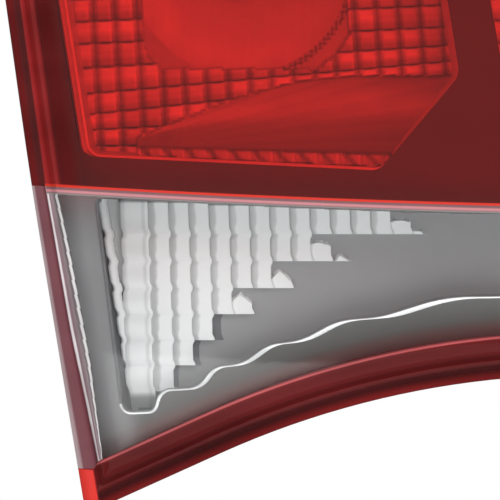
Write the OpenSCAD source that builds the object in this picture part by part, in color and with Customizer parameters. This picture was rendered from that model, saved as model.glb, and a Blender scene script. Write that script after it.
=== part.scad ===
// Rear lamp cluster for the corner of a car body: red upper lens over two lamp cells, clear reversing lens below,
// black rear housing with three twist-lock bulb sockets and three studs.
// The lens looks along -Y and +Z is up. The origin is the axis of the upper stud on the seat face.

/* [Outline] */
// Height of the left edge above the corner where the red and clear lenses meet
left_rise = 85; // [80:0.5:90]
// Height of the roof of the outline above that corner
roof_rise = 97; // [93:0.5:100]
// Distance from that corner to the right edge
span = 207; // [202:0.5:214]
// Depth of the level part of the lower edge below that corner
sill_drop = 42.8; // [41:0.1:45]
// Angle of the straight lower edge that runs down to the tip
tip_angle = 24.3; // [23:0.1:25.5]
// Radius of the bend between that straight edge and the level part
sill_radius = 200; // [170:5:220]
// Lean of the left edge
edge_lean = 9.36; // [8.8:0.01:9.8]

/* [Lens] */
// Height of the lens in front of its channel
lens_height = 26; // [25:0.5:30]
// Radius of the lens face seen from above
crown_r = 520; // [480:10:900]
// Radius of the lens face seen from the side
crown_rv = 900; // [800:10:1500]
// Wall thickness of the lens
lens_wall = 2.6; // [2.2:0.1:3]
// Width of the stepped rim round the lens face
rim_step_w = 5; // [4:0.1:6]
// Setback of that rim behind the face
rim_step = 2.5; // [1.5:0.1:3]
// Width of the red band under the clear lens
red_band = 9.8; // [9:0.1:11]
// Fall of the joint between the red and clear lenses, from the left edge
joint_angle = 3.75; // [3.5:0.05:4]

/* [Cells] */
// Width of one pillow of the lamp cells
pillow_w = 5.07; // [4.8:0.01:5.4]
// Height of one pillow
pillow_h = 5.2; // [4.9:0.01:5.5]
// Bulge of a pillow
pillow_bulge = 1.0; // [0.6:0.1:1.4]
// Lean of the pillow columns
pillow_lean = 3.6; // [2:0.1:5]
// Depth of the pillow floor behind the face of the channel
cell_sink = 6; // [4:0.5:7]
// Depth of the bowl round each bulb
bowl_depth = 6; // [4:0.5:7]
// Width of one flute of the reversing reflector
flute_w = 4.64; // [4.5:0.01:4.8]
// Height of one step of the flutes
flute_step = 5.97; // [5.9:0.01:6.1]
// Bulge of a flute
flute_bulge = 1.5; // [1:0.1:2]
// Depth of the fluted floor behind the face of the channel
flute_sink = 0; // [-1:0.5:2]
// Thickness of a reflector's floor
skin_t = 2.2; // [1.8:0.1:2.6]

/* [Housing] */
// Distance from the seat face to the lens channel
channel_reach = 38; // [37:0.5:40]
// Depth of the lens channel
channel_depth = 4; // [3.5:0.1:5]
// Distance from the seat face to the rear wall
rear_gap = 6; // [5:0.5:7]
// Wall thickness of the housing
housing_wall = 3; // [2.5:0.1:3.2]
// Depth of the tub's shelf behind the face of the channel
shelf_sink = 18; // [16:0.5:20]
// Radius of the hole for the sockets of the two red cells
socket_r = 13; // [12.5:0.1:14]
// Radius of the hole for the socket of the reversing lamp
small_socket_r = 8.8; // [8.5:0.1:9.2]

/* [Fixing] */
// Radius of the stud thread
stud_r = 3; // [2.5:0.5:4]
// Length of each stud past the seat face
stud_len = 22; // [18:1:30]
// Radius of the seat boss round each stud
boss_r = 9; // [8:0.5:11]
// Radius of the moulded locating pin
pin_r = 4; // [3:0.5:5]
// Length of the locating pin past the seat face
pin_len = 12; // [8:1:16]

/* [Hidden] */
$fn = 48;
// The crown is a small part of a wide turn, so it takes many steps.
crown_fn = 720;

// Places in the plane of the lens are right and up of the corner where the two lenses meet the left edge.
// They are given for a span of 207 and a drop of 42.8: right of the tail lamp's window they follow the span,
// and low places follow the drop of the sill.
fixed_x = 80;
side_ratio = (span - fixed_x) / (207 - fixed_x);
low_ratio = sill_drop / 42.8;
function across(x) = x < fixed_x ? x : fixed_x + (x - fixed_x) * side_ratio;
function low(z) = z * low_ratio;
function spot(x, z) = [across(x), z < 0 ? low(z) : z];

tail_at = [47.7, 51.6];
turn_at = spot(147, 46);
reverse_at = spot(140, -19.6);
bulbs = [tail_at, turn_at, reverse_at];
barrels = [socket_r, socket_r, small_socket_r];
main_stud = spot(98, 66);
low_stud = spot(30, -27);
side_stud = spot(187, 16);
locator = spot(98, 8);
studs = [main_stud, low_stud, side_stud];
vent_at = spot(98, -14);
crown_at = spot(96, 10);
lens_reach = channel_reach + lens_height;
cell_floor = channel_reach - cell_sink;
flute_floor = channel_reach - flute_sink;
shelf_reach = channel_reach - shelf_sink;

// Lens surfaces, as setbacks behind the front face.
bezel_set = 9;
bezel_wall = 2;
// The bezel stands back from the reversing mouth by this much, so that the reflector's ledge shows.
ledge_shown = 1.4;
cell_set = bezel_set + bezel_wall + 0.4;
foot_reach = channel_reach + 0.6;
tongue_len = 3.4;
foot_wall = 2.6;
tongue_in = 3.4;
tongue_w = 2.2;
groove_in = 2.8;
groove_w = 3.4;
lip_in = 1.2;
ledge_in = 8.2;
wall_in = groove_in + groove_w;
tub_in = 9;
bezel_in = 6.6;
cell_wall = 1.8;
cell_back = cell_floor - bowl_depth - skin_t;
smooth_set = 2;
flute_back = flute_floor - smooth_set - bowl_depth - skin_t;
socket_flange = 4;
socket_fit = 0.4;
seal_t = 2.5;

function unit(v) = v / norm(v);
function clamp(v, low, high) = min(max(v, low), high);

// Mitred inset of a closed outline that runs anticlockwise.
function inset(pts, d) = [
    for (i = [0 : len(pts) - 1])
        let (p = pts[i])
        let (before = unit(p - pts[(i + len(pts) - 1) % len(pts)]))
        let (after = unit(pts[(i + 1) % len(pts)] - p))
        let (n1 = [-before[1], before[0]])
        let (n2 = [-after[1], after[0]])
        p + d * (n1 + n2) / (1 + n1 * n2)
];

// Points of the arc that rounds the corner b between a and c.
function corner(a, b, c, r, steps) =
    let (u = unit(a - b))
    let (v = unit(c - b))
    let (half = acos(u * v) / 2)
    let (centre = b + unit(u + v) * r / sin(half))
    let (start = b + u * r / tan(half) - centre)
    let (turn = sign(cross(b - a, c - b)) * (180 - 2 * half) / steps)
    [for (i = [0 : steps]) centre + [
        start[0] * cos(i * turn) - start[1] * sin(i * turn),
        start[0] * sin(i * turn) + start[1] * cos(i * turn)
    ]];

// A closed outline from its corners, each given as [place, radius, steps], moved in by d.
function ring(corners, d = 0) =
    let (pts = inset([for (c = corners) c[0]], d))
    let (n = len(pts))
    [
        for (i = [0 : n - 1])
            let (a = pts[(i + n - 1) % n])
            let (b = pts[i])
            let (c = pts[(i + 1) % n])
            let (outer = cross(b - a, c - b) > 0)
            let (r = max(corners[i][1] + (outer ? -d : d), 0.6))
            each corner(a, b, c, r, corners[i][2])
    ];

// The outline of the whole lamp.
bend = [82.7, -sill_drop];
tip_x = (bend[0] * tan(tip_angle) - bend[1]) / (1 / tan(edge_lean) + tan(tip_angle));
tip = [tip_x, -tip_x / tan(edge_lean)];
left_top = [-12, left_rise];
roof = [across(96), roof_rise];
right_top = [span - 4, left_rise - 1];
right_low = [span, -sill_drop];
// The bend of the roof takes up a fixed share of the edge right of it.
roof_turn = atan2(roof[1] - left_top[1], roof[0] - left_top[0])
    + atan2(roof[1] - right_top[1], right_top[0] - roof[0]);
roof_radius = 0.598 * (right_top[0] - roof[0]) / tan(roof_turn / 2);
lamp = [
    [tip, 2.5, 4],
    [bend, sill_radius, 12],
    [right_low, 26, 8],
    [right_top, 24, 8],
    [roof, roof_radius, 8],
    [left_top, 16, 7],
    [[0, 0], 1500, 2]
];

// Openings of the bezel, which are the mouths of the three reflectors.
tail_mouth = [
    [[13.4, 7.6], 3, 3],
    [spot(80.3, 4.3), 4, 3],
    [spot(98.2, 25.5), 5, 4],
    [spot(90, 76), 12, 5],
    [[2.9, 74], 10, 5]
];
turn_mouth = [
    [spot(122.5, 2.4), 4, 3],
    [spot(187, 0), 9, 4],
    [spot(192, 70), 14, 5],
    [spot(98.8, 76), 10, 5],
    [spot(107.3, 27), 4, 3]
];
// The lower edge of the reversing mouth climbs in waves; a wave has a foot and a crest.
wave_feet = [spot(29.4, -46.6), spot(41.6, -41.3), spot(54.3, -36.1), spot(70.2, -30.6), spot(94.5, -25.2)];
wave_crests = [spot(38.2, -46.1), spot(48.2, -40.6), spot(61.6, -35.3), spot(80, -29.8)];
mouth_drop = 1.4;
joint_z = 0.45;
// The joint falls to its knee and is level from there, with a long rounded bend between.
joint_knee = [across(84), joint_z - across(84) * tan(joint_angle)];
clear_end = span - 16;
joint_radius = 0.785 * (clear_end - joint_knee[0]) / tan(joint_angle / 2);
function joint_at(x) = joint_knee[1] + max(0, joint_knee[0] - x) * tan(joint_angle);
reverse_mouth = concat(
    [[spot(20.7, -51.8), 2.4, 2], [spot(27.9, -51.5), 1.9, 2]],
    [for (i = [0 : 3]) each [[wave_feet[i], 3, 2], [wave_crests[i], 4, 2]]],
    [[wave_feet[4], 6, 3], [spot(112, -25), 8, 3], [spot(127, -30), 8, 3], [spot(184, -30), 6, 3]],
    [[[across(184), joint_knee[1] - mouth_drop], 3, 3], [joint_knee - [0, mouth_drop], 0.7 * joint_radius, 8],
    [[14.6, joint_at(14.6) - mouth_drop], 1.5, 2]]
);
// The clear lens: below the joint, above the red band, out to the left edge.
band_bend = bend + red_band * [-tan(tip_angle / 2), 1];
band_start = [tip[0] + 3.2, band_bend[1] - (band_bend[0] - tip[0] - 3.2) * tan(tip_angle)];
rim_end = band_start[1] - 1.9;
clear_area = [
    [[-30, joint_at(-30)], 0.6, 1],
    [[-30, rim_end], 0.6, 1],
    [[band_start[0] - 1, rim_end], 0.7, 2],
    [band_start, 1.2, 2],
    [band_bend, sill_radius - red_band, 12],
    [[clear_end, band_bend[1]], 8, 5],
    [[clear_end, joint_knee[1]], 4, 4],
    [joint_knee, joint_radius, 12]
];

// Moves the plane of the lens so that the main stud is on the origin.
module placed() {
    translate([-main_stud[0], 0, -main_stud[1]]) children();
}

// Extrudes an outline between two distances in front of the seat face.
module slab(front, back) {
    translate([0, -back, 0]) rotate([90, 0, 0]) linear_extrude(front - back) children();
}

// A ring-shaped wall between two insets of an outline.
module wall(corners, outer, inner, front, back) {
    slab(front, back) difference() {
        polygon(ring(corners, outer));
        polygon(ring(corners, inner));
    }
}

// A round bar along Y at a place in the plane of the lens.
module bar(at, r, front, back) {
    translate([at[0], -back, at[1]]) rotate([90, 0, 0]) cylinder(r = r, h = front - back);
}

// The body behind a surface parallel to the lens face, which is crowned both ways.
module behind_crown(set) {
    translate([crown_at[0], crown_r - lens_reach, crown_at[1]]) rotate_extrude($fn = crown_fn) intersection() {
        translate([crown_r - crown_rv, 0]) circle(r = crown_rv - set, $fn = crown_fn);
        translate([0, -150]) square([crown_r, 300]);
    }
}

// Distance in front of the seat face of that surface at a place.
function crown_reach(x, z, set) =
    let (rho = crown_r - crown_rv + sqrt(pow(crown_rv - set, 2) - pow(z - crown_at[1], 2)))
    sqrt(pow(rho, 2) - pow(x - crown_at[0], 2)) + lens_reach - crown_r;

// A moulded face given by its reach at each crossing of two lists of lines, closed by a flat back.
module relief(xs, zs, lean, back, reach) {
    nx = len(xs);
    nz = len(zs);
    front = [for (z = zs) for (x = xs) [x - z * tan(lean), -reach(x - z * tan(lean), z, x), z]];
    loop = concat(
        [for (i = [0 : nx - 2]) i],
        [for (j = [0 : nz - 2]) j * nx + nx - 1],
        [for (i = [nx - 1 : -1 : 1]) (nz - 1) * nx + i],
        [for (j = [nz - 1 : -1 : 1]) j * nx]
    );
    n = len(loop);
    first = nx * nz;
    mid = (front[0] + front[first - 1]) / 2;
    points = concat(front, [for (k = loop) [front[k][0], -back, front[k][2]]], [[mid[0], -back, mid[2]]]);
    skin = [for (j = [0 : nz - 2]) for (i = [0 : nx - 2])
        let (a = j * nx + i)
        each [[a, a + nx, a + nx + 1], [a, a + nx + 1, a + 1]]];
    sides = [for (k = [0 : n - 1])
        let (l = (k + 1) % n)
        each [[loop[k], loop[l], first + l], [loop[k], first + l, first + k], [first + k, first + l, first + n]]];
    polyhedron(points = points, faces = concat(skin, sides));
}

// A bump that is 0 at whole numbers and 1 between them.
function bump(t) = 1 - pow(2 * (t - floor(t)) - 1, 2);

// The window round the tail bulb: a smooth bowl with a rounded, slightly leaning square edge.
window_half = [23.8, 24];
function in_window(at, x, z) =
    abs(x - at[0] + 0.1 * (z - at[1])) < window_half[0] && abs(z - at[1]) < window_half[1]
    && norm([x - at[0], z - at[1]]) < 30;
bowl_r = 27;
reverse_bowl_r = 30;
function bowl(at, x, z) = bowl_depth * max(0.12, 1 - pow(norm([x - at[0], z - at[1]]) / bowl_r, 2));

// Lower end of the pillow columns, where the smooth scoop begins.
function scoop_top(x) = 15.5 + 10.5 * sin(90 * clamp((x - 33) / 42, 0, 1));
function scoop_foot(x) = 9.7 - 0.03 * (x - 13);
scoop_from = 32;
lip_set = cell_set + 2;
foot_bulge = 0.9;
// The scoop sweeps forward to a lip near the bezel, and a row of small pillows closes it there.
function scoop(x, z, lip) =
    let (t = clamp((scoop_top(x) - z) / (scoop_top(x) - scoop_foot(x)), 0, 1))
    cell_floor + (lip - cell_floor) * (1 - sqrt(1 - t * t));

function pillow(col, z) =
    pillow_bulge * (bump((col - pillow_w / 2) / pillow_w) + bump(z / pillow_h)) / 2;

function tail_reach(x, z, col) =
    in_window(tail_at, x, z) ? cell_floor - bowl(tail_at, x, z)
    : x > scoop_from && z < scoop_foot(x)
    ? crown_reach(x, z, lip_set) + foot_bulge * bump((col - pillow_w / 2) / pillow_w)
    : x > scoop_from && z < scoop_top(x) ? scoop(x, z, crown_reach(x, z, lip_set))
    : cell_floor + pillow(col, z);

function turn_reach(x, z, col) =
    in_window(turn_at, x, z) ? cell_floor - bowl(turn_at, x, z) : cell_floor + pillow(col, z);

// Whole flutes in each stepped row, from the top, and all its flutes with those half sunk in the floor.
flute_whole = [12, 8, 6, 4, 3, 2, 1];
flute_all = [14, 10, 7, 5, 3, 2, 1];
flute_from = 27.1;
flute_top = -4.8;
flute_columns = flute_all[0];
flute_rows = len(flute_all);
flute_lean = 1.2;
half_sunk = 1.4;
// Left of them stand a wide flute and a slim slanting one, given by its corners.
wide_flute = [20.3, 26.9];
slim_flute = [[15.9, 0], [17.6, 0], [20.1, -24], [20.1, -40], [15.9, -1]];

// A flute bulges across and leans forward down each row, so that each row ends in a step.
function flute_reach(x, z, col) =
    let (drop = max(0, (flute_top - z) / flute_step))
    let (row = floor(drop))
    let (lean = flute_lean * (drop - row))
    let (c = floor((col - flute_from) / flute_w))
    let (wide = (col - wide_flute[0]) / (wide_flute[1] - wide_flute[0]))
    let (r = min(row, flute_rows - 1))
    let (bowled = norm([x - reverse_at[0], z - reverse_at[1]]))
    let (smooth = flute_floor - smooth_set - bowl_depth * max(0, 1 - pow(bowled / reverse_bowl_r, 2)))
    wide > 0 && wide < 1 ? flute_floor + flute_bulge * bump(wide) + lean
    : c >= 0 && row == r && c < flute_all[r]
    ? flute_floor + flute_bulge * bump((col - flute_from) / flute_w) + lean - (c < flute_whole[r] ? 0 : half_sunk)
    : smooth;

// One reflector: relief floor, walls up to the bezel, posts to the rear wall and a hole for its bulb.
// Behind, the floor is thinned to its skin outside the bowl.
module reflector(mouth, at, posts, floor_back, hole, bowl_r) {
    skin = floor_back + bowl_depth;
    difference() {
        union() {
            difference() {
                intersection() {
                    slab(lens_reach, floor_back) polygon(ring(mouth, -0.6 - cell_wall / 2));
                    children();
                }
                difference() {
                    slab(skin, floor_back - 1) polygon(ring(mouth, 1.6));
                    bar(at, bowl_r, skin + 1, floor_back - 2);
                }
            }
            intersection() {
                wall(mouth, -0.6 - cell_wall, -0.6, lens_reach, floor_back);
                behind_crown(cell_set);
            }
            for (p = posts) bar(p, 4, skin + 0.5, rear_gap + housing_wall);
        }
        bar(at, hole, lens_reach, 0);
        for (p = posts) bar(p, screw_r, rear_gap + housing_wall + screw_grip, 0);
    }
}

screw_r = 1.8;
screw_grip = 8;
tail_posts = [[14, 62], main_stud - [20, 0], [30, 16]];
turn_posts = [main_stud + [20, 2], spot(180, 62), [turn_at[0] + 3, 8]];
reverse_posts = [spot(52, -27), vent_at + [12, -4], spot(162, -20)];
screws = concat(tail_posts, turn_posts, reverse_posts);

// Lines run past the mouth on both sides, counted in half pillows.
function half_pillows(x) = x / (pillow_w / 2);
pillow_lines_x = [for (i = [1 : ceil(half_pillows(across(98.2) + 6))]) i * pillow_w / 2];
turn_lines_x = [for (i = [floor(half_pillows(across(98.8) - 2.4)) : ceil(half_pillows(across(192) + 14))])
    i * pillow_w / 2];
pillow_lines_z = [for (j = [0 : 31]) j * pillow_h / 2];
// The low rows of the tail lamp's cell have extra lines, where the scoop meets its small pillows.
foot_lines_z = concat([0, 2.6, 5.2, 7.6, 8, 8.4, 8.8, 9.2], [for (j = [4 : 31]) j * pillow_h / 2]);

module tail_reflector() {
    color("firebrick") placed() reflector(tail_mouth, tail_at, tail_posts, cell_back, lamp_glass + 2, bowl_r + 1)
        relief(pillow_lines_x, foot_lines_z, pillow_lean, cell_back,
            function (x, z, col) tail_reach(x, z, col));
}

module turn_reflector() {
    color("firebrick") placed() reflector(turn_mouth, turn_at, turn_posts, cell_back, lamp_glass + 2, bowl_r + 1)
        translate([0, 0, -pillow_h]) relief(turn_lines_x, pillow_lines_z, pillow_lean,
            cell_back, function (x, z, col) turn_reach(x, z - pillow_h, col));
}

plain_from = flute_from + flute_columns * flute_w;
plain_step = (across(184) + 5.6 - plain_from) / 15;
flute_lines_x = concat(
    [12, 16, wide_flute[0] - 0.1, wide_flute[0] + 0.05, 22, 23.6, 25.2, wide_flute[1] - 0.05],
    [for (c = [0 : flute_columns * 4]) flute_from + c * flute_w / 4 + (c % 4 == 0 ? -0.02 : 0)],
    [for (i = [1 : 15]) plain_from + i * plain_step]
);
flute_lines_z = concat(
    [for (r = [9 : -1 : 1]) each [flute_top - r * flute_step - 0.01, flute_top - r * flute_step + 0.25,
        flute_top - (r - 0.5) * flute_step]],
    [flute_top - 0.01, flute_top + 6]
);

module reverse_reflector() {
    color("gainsboro") placed() reflector(reverse_mouth, reverse_at, reverse_posts, flute_back, reverse_glass + 1.2,
        reverse_bowl_r + 1)
        union() {
            relief(flute_lines_x, flute_lines_z, 0, flute_back,
                function (x, z, col) flute_reach(x, z, col));
            slab(flute_floor + 1, flute_back + 1) polygon(slim_flute);
        }
}

// The lens as one moulding, before it is parted into its two colours.
module lens_body() {
    difference() {
        union() {
            intersection() {
                slab(lens_reach + 5, foot_reach) polygon(ring(lamp, rim_step_w));
                behind_crown(0);
            }
            intersection() {
                slab(lens_reach + 5, foot_reach) polygon(ring(lamp));
                behind_crown(rim_step);
            }
        }
        intersection() {
            slab(lens_reach + 5, 0) polygon(ring(lamp, rim_step_w + lens_wall));
            behind_crown(lens_wall);
        }
        intersection() {
            slab(lens_reach + 5, foot_reach + foot_wall) polygon(ring(lamp, lens_wall));
            behind_crown(rim_step + lens_wall);
        }
        slab(foot_reach + foot_wall + 1, 0) polygon(ring(lamp, tongue_in + tongue_w));
    }
    wall(lamp, tongue_in, tongue_in + tongue_w, foot_reach + 0.1, foot_reach - tongue_len);
}

module clear_prism() {
    slab(lens_reach + 6, 0) polygon(ring(clear_area));
}

module red_lens() {
    color("firebrick") placed() difference() {
        lens_body();
        clear_prism();
    }
}

module clear_lens() {
    color("whitesmoke") placed() intersection() {
        lens_body();
        clear_prism();
    }
}

module inner_bezel() {
    color("dimgray") placed() difference() {
        union() {
            intersection() {
                difference() {
                    slab(lens_reach, channel_reach) polygon(ring(lamp, bezel_in));
                    behind_crown(bezel_set + bezel_wall);
                }
                behind_crown(bezel_set);
            }
            intersection() {
                wall(lamp, bezel_in, ledge_in, lens_reach, channel_reach);
                behind_crown(bezel_set);
            }
        }
        slab(lens_reach, 0) polygon(ring(tail_mouth));
        slab(lens_reach, 0) polygon(ring(turn_mouth));
        slab(lens_reach, 0) polygon(ring(reverse_mouth, -ledge_shown));
    }
}

// Gussets under the lens channel, along the straight edges: ends of the edge, and places along it.
gussets = [
    [tip, [0, 0], [0.35, 0.6, 0.85]],
    [[0, 0], left_top, [0.2, 0.45, 0.7]],
    [left_top, roof, [0.28, 0.48]],
    [roof, right_top, [0.52, 0.72]],
    [right_top, right_low, [0.3, 0.5, 0.7]],
    [right_low, bend, [0.3, 0.45, 0.6]]
];
gusset_t = 1.8;
module gusset(a, b, t) {
    along = unit(b - a);
    // The outline is followed upwards on the left and clockwise after it, so the outside is on the left.
    side = cross(along, centre_of_lamp - a) > 0 ? -1 : 1;
    out = side * [-along[1], along[0]];
    p = a + t * (b - a) - out * (wall_in + 1);
    translate([p[0], 0, p[1]]) rotate([0, -atan2(out[1], out[0]), 0])
        linear_extrude(gusset_t, center = true)
            polygon([
                [-1, -channel_reach + channel_depth + 1], [wall_in - 1.6, -channel_reach + channel_depth + 1],
                [wall_in - 1.6, -channel_reach + channel_depth + housing_wall + 1],
                [1, 2 - shelf_reach], [-1, 2 - shelf_reach]
            ]);
}
centre_of_lamp = [96, 20];

// The housing: lens channel, stepped tub, rear wall with socket holes and stud bosses.
module housing() {
    color([0.12, 0.12, 0.13]) placed() difference() {
        union() {
            slab(channel_reach, channel_reach - channel_depth - housing_wall) polygon(ring(lamp, lip_in));
            slab(channel_reach - channel_depth, shelf_reach - housing_wall) polygon(ring(lamp, wall_in));
            slab(shelf_reach, rear_gap) polygon(ring(lamp, tub_in));
            for (s = studs) bar(s, boss_r, rear_gap + 1, 0);
            bar(locator, pin_r + 3, rear_gap + 1, 0);
            bar(locator, pin_r, 1, 1 - pin_len);
            translate([locator[0], pin_len - 1, locator[1]]) rotate([-90, 0, 0])
                cylinder(r1 = pin_r, r2 = pin_r - 1.5, h = 1.5);
            bar(vent_at, 5, rear_gap + 1, rear_gap - 7);
            for (g = gussets) for (t = g[2]) gusset(g[0], g[1], t);
            for (i = [0 : 2]) difference() {
                bar(bulbs[i], barrels[i] + 6.4, rear_gap + 1, rear_gap - 2);
                bar(bulbs[i], barrels[i] + 4.6, rear_gap + 2, rear_gap - 3);
            }
        }
        difference() {
            slab(channel_reach + 1, shelf_reach) polygon(ring(lamp, ledge_in));
            for (s = studs) bar(s, 6, shelf_reach - 6, 0);
        }
        wall(lamp, groove_in, groove_in + groove_w, channel_reach + 1, channel_reach - channel_depth);
        difference() {
            slab(shelf_reach + 1, rear_gap + housing_wall) polygon(ring(lamp, tub_in + housing_wall));
            for (s = studs) bar(s, 6, shelf_reach - 4, 0);
        }
        for (i = [0 : 2]) bar(bulbs[i], barrels[i], shelf_reach, 0);
        for (i = [0 : 2]) translate([bulbs[i][0], -rear_gap - housing_wall / 2, bulbs[i][1]]) rotate([0, 60, 0])
            cube([2 * barrels[i] + 5, housing_wall + 2, 6], center = true);
        for (s = studs) bar(s, stud_collar_r, rear_gap + 8, -1);
        for (s = studs) bar(s, stud_head_r, rear_gap + 8, rear_gap + 4);
        for (p = screws) bar(p, screw_r + 0.3, shelf_reach, 0);
        bar(vent_at, 2.5, shelf_reach, -5);
    }
}
stud_head_r = 4.6;
stud_collar_r = stud_r + 0.4;
gasket_w = 4.5;

module mounting_studs() {
    color("silver") placed() for (s = studs) {
        bar(s, stud_r, 0.1, -stud_len);
        bar(s, stud_collar_r, rear_gap + 4.1, 0);
        translate([s[0], -rear_gap - 4, s[1]]) rotate([90, 0, 0]) cylinder(r = stud_head_r, h = 4);
        translate([s[0], stud_len, s[1]]) rotate([-90, 0, 0]) cylinder(r1 = stud_r, r2 = stud_r - 0.8, h = 1);
    }
}

module reflector_screws() {
    color("lightsteelblue") placed() for (p = screws) difference() {
        union() {
            bar(p, screw_r, rear_gap + housing_wall + screw_grip, rear_gap);
            bar(p, 3.6, rear_gap, rear_gap - 2.2);
        }
        translate([p[0], -rear_gap + 2.2, p[1]]) rotate([0, 45, 0]) cube([4.4, 2, 0.8], center = true);
        translate([p[0], -rear_gap + 2.2, p[1]]) rotate([0, -45, 0]) cube([4.4, 2, 0.8], center = true);
    }
}

// Foam washers that close the stud holes of the body.
module stud_gaskets() {
    color([0.2, 0.2, 0.21]) placed() for (s = studs) difference() {
        bar(s, boss_r + gasket_w, rear_gap, 0);
        bar(s, boss_r, rear_gap + 1, -1);
    }
}

// The sealant in the channel, with the tongue of the lens sunk in it.
module lens_seal() {
    color([0.08, 0.08, 0.08]) placed() difference() {
        wall(lamp, groove_in, groove_in + groove_w, channel_reach - 2, channel_reach - channel_depth);
        wall(lamp, tongue_in, tongue_in + tongue_w, channel_reach, foot_reach - tongue_len);
    }
}

// A wedge bulb: glass envelope with a pinched flat base.
lamp_glass = 9;
reverse_glass = 6.4;
wedge = [11, 4];
bulb_seat = rear_gap + 7;
bulb_reach = lens_reach - 16;
module bulb(at, r) {
    color("whitesmoke") placed() translate([at[0], 0, at[1]]) rotate([90, 0, 0]) {
        rotate_extrude() intersection() {
            union() {
                translate([0, bulb_seat]) square([r - 1.5, 5]);
                translate([0, bulb_seat + 4]) square([r, bulb_reach - r - bulb_seat - 4]);
                translate([0, bulb_reach - r]) circle(r = r);
            }
            square([20, 60]);
        }
        translate([-wedge[0] / 2, -wedge[1] / 2, bulb_seat - 9]) cube([wedge[0], wedge[1], 9.5]);
    }
}

// A twist-lock socket: barrel, flange, lugs, and an open inlet for the lead plug at the back.
inlet = [17, 9, 17];
blade = [3, 14, 0.8];
module socket(at, r, slots) {
    color([0.3, 0.3, 0.32]) placed() difference() {
        union() {
            bar(at, r - socket_fit, bulb_seat, rear_gap - seal_t);
            bar(at, r + socket_flange, rear_gap - seal_t, rear_gap - seal_t - 3);
            translate([at[0], -rear_gap - housing_wall - 2, at[1]]) cube([2 * r + 3.6, 4, 5], center = true);
            translate([at[0] - inlet[0] / 2 - 1.6, -1, at[1] - inlet[1] / 2 - 1.6])
                cube([inlet[0] + 3.2, inlet[2] + 1, inlet[1] + 3.2]);
            for (a = [-1, 1]) translate([at[0] + a * r - 1.5, -1, at[1] - 5]) cube([3, 9, 10]);
        }
        translate([at[0] - wedge[0] / 2, -bulb_seat - 1, at[1] - wedge[1] / 2])
            cube([wedge[0], bulb_seat - 1, wedge[1]]);
        translate([at[0] - inlet[0] / 2, 2, at[1] - inlet[1] / 2]) cube([inlet[0], inlet[2], inlet[1]]);
        for (i = slots) translate([at[0] + i * 5 - blade[0] / 2, -3, at[1] - blade[2] / 2])
            cube([blade[0], 6, blade[2]]);
    }
}

// The contact blades in a socket's inlet.
module blades(at, slots) {
    color("goldenrod") placed() for (i = slots)
        translate([at[0] + i * 5 - blade[0] / 2, -2, at[1] - blade[2] / 2]) cube(blade);
}

module seal_ring(at, r) {
    color([0.1, 0.1, 0.1]) placed() difference() {
        bar(at, r + 3.2, rear_gap, rear_gap - seal_t);
        bar(at, r - socket_fit, rear_gap + 1, 0);
    }
}

module vent_cap() {
    color([0.12, 0.12, 0.12]) placed() difference() {
        bar(vent_at, 7, rear_gap - 1, rear_gap - 11);
        bar(vent_at, 5, rear_gap, rear_gap - 7);
        for (a = [0 : 60 : 120]) translate([vent_at[0], -rear_gap + 6.9, vent_at[1]]) rotate([0, a, 0])
            cube([16, 1.6, 2], center = true);
    }
}

module tail_bulb() { bulb(tail_at, lamp_glass); }
module turn_bulb() { bulb(turn_at, lamp_glass); }
module reverse_bulb() { bulb(reverse_at, reverse_glass); }
module tail_socket() { socket(tail_at, socket_r, [-1, 0, 1]); }
module turn_socket() { socket(turn_at, socket_r, [-1, 1]); }
module reverse_socket() { socket(reverse_at, small_socket_r, [-1, 1]); }
module tail_seal_ring() { seal_ring(tail_at, socket_r); }
module turn_seal_ring() { seal_ring(turn_at, socket_r); }
module reverse_seal_ring() { seal_ring(reverse_at, small_socket_r); }
module tail_contacts() { blades(tail_at, [-1, 0, 1]); }
module turn_contacts() { blades(turn_at, [-1, 1]); }
module reverse_contacts() { blades(reverse_at, [-1, 1]); }

housing();
red_lens();
clear_lens();
lens_seal();
inner_bezel();
tail_reflector();
turn_reflector();
reverse_reflector();
reflector_screws();
tail_bulb();
turn_bulb();
reverse_bulb();
tail_socket();
turn_socket();
reverse_socket();
tail_seal_ring();
turn_seal_ring();
reverse_seal_ring();
tail_contacts();
turn_contacts();
reverse_contacts();
mounting_studs();
stud_gaskets();
vent_cap();
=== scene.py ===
import math

import bmesh
import bpy
import numpy as np
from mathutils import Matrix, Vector


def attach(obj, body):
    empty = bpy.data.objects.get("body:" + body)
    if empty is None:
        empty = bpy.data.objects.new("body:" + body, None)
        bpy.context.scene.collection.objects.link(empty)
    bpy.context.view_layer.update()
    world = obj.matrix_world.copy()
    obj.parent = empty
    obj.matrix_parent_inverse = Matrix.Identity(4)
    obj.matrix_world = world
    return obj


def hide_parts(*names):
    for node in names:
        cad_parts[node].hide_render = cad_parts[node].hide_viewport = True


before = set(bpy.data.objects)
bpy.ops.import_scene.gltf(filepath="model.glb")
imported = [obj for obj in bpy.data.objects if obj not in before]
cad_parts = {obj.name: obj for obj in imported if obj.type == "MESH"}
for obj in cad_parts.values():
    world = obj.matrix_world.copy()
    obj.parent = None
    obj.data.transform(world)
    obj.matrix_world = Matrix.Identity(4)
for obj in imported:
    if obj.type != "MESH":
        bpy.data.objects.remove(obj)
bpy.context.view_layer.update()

# Places are millimetres right and up of the corner where the two lenses meet the left edge,
# and millimetres of reach in front of the seat face. The upper stud is the origin of the model.
MM = 0.001
STUD = (98.0, 66.0)
LENS_REACH = 64.0
# The crowned face: its radii across and up, and the place of its peak.
CROWN, CROWN_UP, CROWN_AT = 520.0, 900.0, (96.0, 10.0)
# Reach of the floor and of the flat back, of the two red cells and of the reversing one.
CELL_FLOOR, CELL_BACK = 32.0, 23.8
FLUTE_BASE, FLUTE_BACK = 36.2, 27.8
LENS_WALL, BEZEL_WALL = 2.6, 1.6
# Cosine of a corner that counts as straight, a corner's least radius, and metres within which points merge.
STRAIGHT, LEAST_RADIUS, WELD = 0.9999, 0.6, 0.000002
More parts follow.
